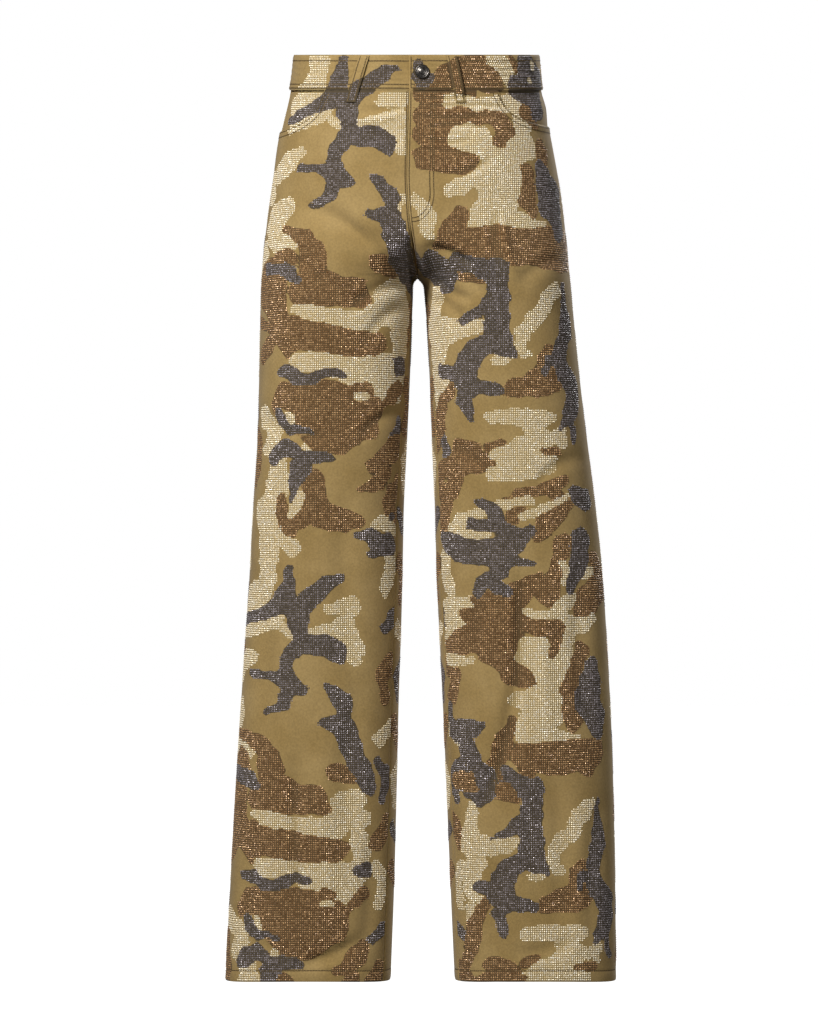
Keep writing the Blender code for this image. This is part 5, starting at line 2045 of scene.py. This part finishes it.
@dataclass
class Rhinestone:
    """Pressed glass with a foiled back: bright, with a random lightness for each stone and facet that is a
    painted glint.
    """

    name: str
    colour: str
    deep: str
    metallic: float
    material: bpy.types.Material = field(init=False)

    def __post_init__(self) -> None:
        """Build the node tree."""
        self.material, tree, shader = new_material(self.name)
        # Painted glints: the glint value mixes the deep colour towards a bright highlight colour, over the
        # light the facets really reflect
        glint = add_node(tree, "ShaderNodeAttribute", {"attribute_name": "glint"}).outputs["Fac"]
        bright = add_node(tree, "ShaderNodeMath", {"operation": "POWER"}, i0=glint, i1=1.6).outputs["Value"]
        colour = mixed(tree, bright, linear_rgba(self.deep), linear_rgba(self.colour))
        tree.links.new(colour, shader.inputs["Base Color"])
        settle(shader, Metallic=self.metallic, Roughness=0.37, Coat_Weight=0.15, Coat_Roughness=0.2)


@dataclass
class Gunmetal:
    """Turned brass with a dark nickel plate, worn unevenly to a lighter grey."""

    colour: str = "6a6560"
    dark: str = "4b4743"
    material: bpy.types.Material = field(init=False)

    def __post_init__(self) -> None:
        """Build the node tree."""
        self.material, tree, shader = new_material("gunmetal plate, turned")
        worn = ranged(tree, noise(tree, 900.0, 4.0), 0.4, 0.62, 0.0, 1.0)
        colour = mixed(tree, worn, linear_rgba(self.dark), linear_rgba(self.colour))
        tree.links.new(colour, shader.inputs["Base Color"])
        settle(shader, Metallic=1.0, Roughness=0.32)


# ---- the studio

@dataclass
class Studio:
    """A white photographic studio: soft lights, a pale floor and the camera of the photograph."""

    camera_at: tuple = (-7.7 * MM, -4.4, -0.544)
    lens: float = 130.0
    floor_at: float = -1.25
    floor_half: float = 9.0
    lights: tuple = (
        ("key", (-1.5, -2.5, 1.6), (0, 0, -0.5), 0.7, 154),
        ("fill", (2.2, -3.2, 0.2), (0, 0, -0.6), 1.4, 27),
        ("back key", (1.9, 2.9, 1.5), (0, 0, -0.5), 1.4, 100),
    )
    seen: float = 1.0
    shining: float = 0.1

    def light(self, name: str, place: tuple, aim: tuple, size: float, power: float) -> None:
        """A square area light that looks at a point."""
        data = bpy.data.lights.new(name, "AREA")
        data.shape = "SQUARE"
        data.size = size
        data.energy = power
        lamp = bpy.data.objects.new(name, data)
        lamp.location = place
        lamp.rotation_euler = (Vector(aim) - Vector(place)).to_track_quat("-Z", "Y").to_euler()
        bpy.context.scene.collection.objects.link(lamp)

    def world(self) -> None:
        """A white surround: bright where the camera sees it, dimmer as a light."""
        world = bpy.data.worlds.new("studio")
        world.use_nodes = True
        tree = world.node_tree
        path = add_node(tree, "ShaderNodeLightPath").outputs["Is Camera Ray"]
        strength = ranged(tree, path, 0.0, 1.0, self.shining, self.seen)
        tree.nodes["Background"].inputs["Color"].default_value = (1, 1, 1, 1)
        tree.links.new(strength, tree.nodes["Background"].inputs["Strength"])
        bpy.context.scene.world = world

    def floor(self) -> None:
        """A pale plain floor, not part of the object, that throws little light back up the legs."""
        corners = np.array([[-1, -1, 0], [1, -1, 0], [1, 1, 0], [-1, 1, 0]]) * self.floor_half
        corners[:, 2] = self.floor_at
        material, tree, shader = new_material("white studio floor")
        settle(shader, Base_Color=linear_rgba("6a6a6a"), Roughness=0.9, Emission_Color=(1, 1, 1, 1))
        path = add_node(tree, "ShaderNodeLightPath").outputs["Is Camera Ray"]
        tree.links.new(path, shader.inputs["Emission Strength"])
        link_mesh("studio_floor", corners, np.array([[0, 1, 2, 3]]), [material])

    def camera(self) -> None:
        """A long lens, level, straight at the front."""
        data = bpy.data.cameras.new("camera")
        data.lens = self.lens
        data.clip_end = 60
        eye = bpy.data.objects.new("camera", data)
        eye.location = self.camera_at
        eye.rotation_euler = (math.pi / 2, 0, 0)
        bpy.context.scene.collection.objects.link(eye)
        bpy.context.scene.camera = eye

    def build(self) -> None:
        """Set up the whole studio."""
        self.world()
        self.floor()
        for light in self.lights:
            self.light(*light)
        self.camera()
        bpy.context.scene.view_settings.view_transform = "Standard"


# ---- the whole garment

class Jeans:
    """All the pieces of the jeans, cut, sewn and set with stones.

    The camouflage's own repeat is about 600 mm long: millimetres on the right and on the left.
    """

    REPEAT = -592
    LEFT_REPEAT = -604
    LEAN = 0.055
    BACK_SHIFT = -10

    def __init__(self) -> None:
        """Lay out the halves, their charts and the camouflage on each face.

        The lower legs take upper patches again, a repeat lower. The back takes mirrored copies of
        the other leg's patches.
        """
        self.halves = {size: Half(size) for size in (RIGHT, LEFT)}
        self.charts = {(size, face): Chart(half, face) for size, half in self.halves.items() for face in Face}
        upper = within(LEFT_STROKES, 0, -601)
        again = within(LEFT_STROKES, -244, -507)
        seams = (Layer(SEAM_STROKES, seam=1), Layer(SEAM_STROKES, move_z=-31, seam=-1))
        behind = (Layer(SEAM_STROKES, move_z=47, seam=1), Layer(SEAM_STROKES, move_x=6, move_z=86, seam=-1))
        lower = Layer(RIGHT_STROKES, -64, self.REPEAT, self.LEAN)
        layers = {
            (RIGHT, Face.FRONT): seams + (lower, Layer(RIGHT_STROKES)),
            (LEFT, Face.FRONT): seams + (Layer(again, 41, self.LEFT_REPEAT), Layer(LEFT_STROKES)),
            (RIGHT, Face.BACK): behind + self.copies(upper, -35, 240),
            (LEFT, Face.BACK): behind + self.copies(RIGHT_STROKES, 43, 300),
        }
        self.paints = {key: Camouflage(self.charts[key], layer) for key, layer in layers.items()}

    def copies(self, strokes: tuple[Stroke, ...], flare: float, up: float) -> tuple[Layer, ...]:
        """Mirrored copies of patches down a back panel: the middle one lies over the others."""
        return tuple(Layer(strokes, flare * k + self.BACK_SHIFT, up + self.REPEAT * k, mirrored=True)
                     for k in (2, 0, 1))

    def plies(self) -> list[Ply]:
        """Every cut piece."""
        on = {key: (self.charts[key], self.paints[key]) for key in self.charts}
        found: list[Ply] = []
        for size in (RIGHT, LEFT):
            front, back = on[size, Face.FRONT], on[size, Face.BACK]
            found += [
                FrontPly(f"front_{size.name}", *front),
                BackPly(f"back_{size.name}", *back),
                YokePly(f"yoke_{size.name}", *back),
                FacingPly(f"pocket_facing_{size.name}", *front, base=-CLOTH.facing_drop),
                PocketPly(f"back_pocket_{size.name}", *back, base=PocketPly.LIFT),
            ]
        found.append(FlyPly("front_right", *on[RIGHT, Face.FRONT], base=-CLOTH.underlap_drop))
        found.append(BandPly(self.halves, self.paints))
        for loop in LOOPS:
            found.append(LoopPly(loop, *on[loop.size, Face.BACK if loop.behind else Face.FRONT]))
        return found

    def build(self) -> None:
        """Cut, sew and dress every piece."""
        twill = Twill()
        thread = Thread()
        # Each stone: its name, the bright colour of its painted glints, its deep colour and how metallic it
        # is
        stones = [
            Rhinestone("cream foiled rhinestone", "fffaec", "edd6a8", 0.1),
            Rhinestone("brown foiled rhinestone", "e4b781", "6f4a24", 0.32),
            Rhinestone("dark foiled rhinestone", "b6acb0", "433b39", 0.32),
        ]
        for ply in self.plies():
            ply.build(twill)
            if not isinstance(ply, FlyPly):
                Stitching().build(ply, thread)
                Stones().build(ply, stones)
        Button().build(self.halves[LEFT], Gunmetal())


def main() -> None:
    """Build the jeans and the studio."""
    logging.basicConfig(level=logging.INFO)
    Jeans().build()
    Studio().build()


if __name__ == "__main__":
    main()
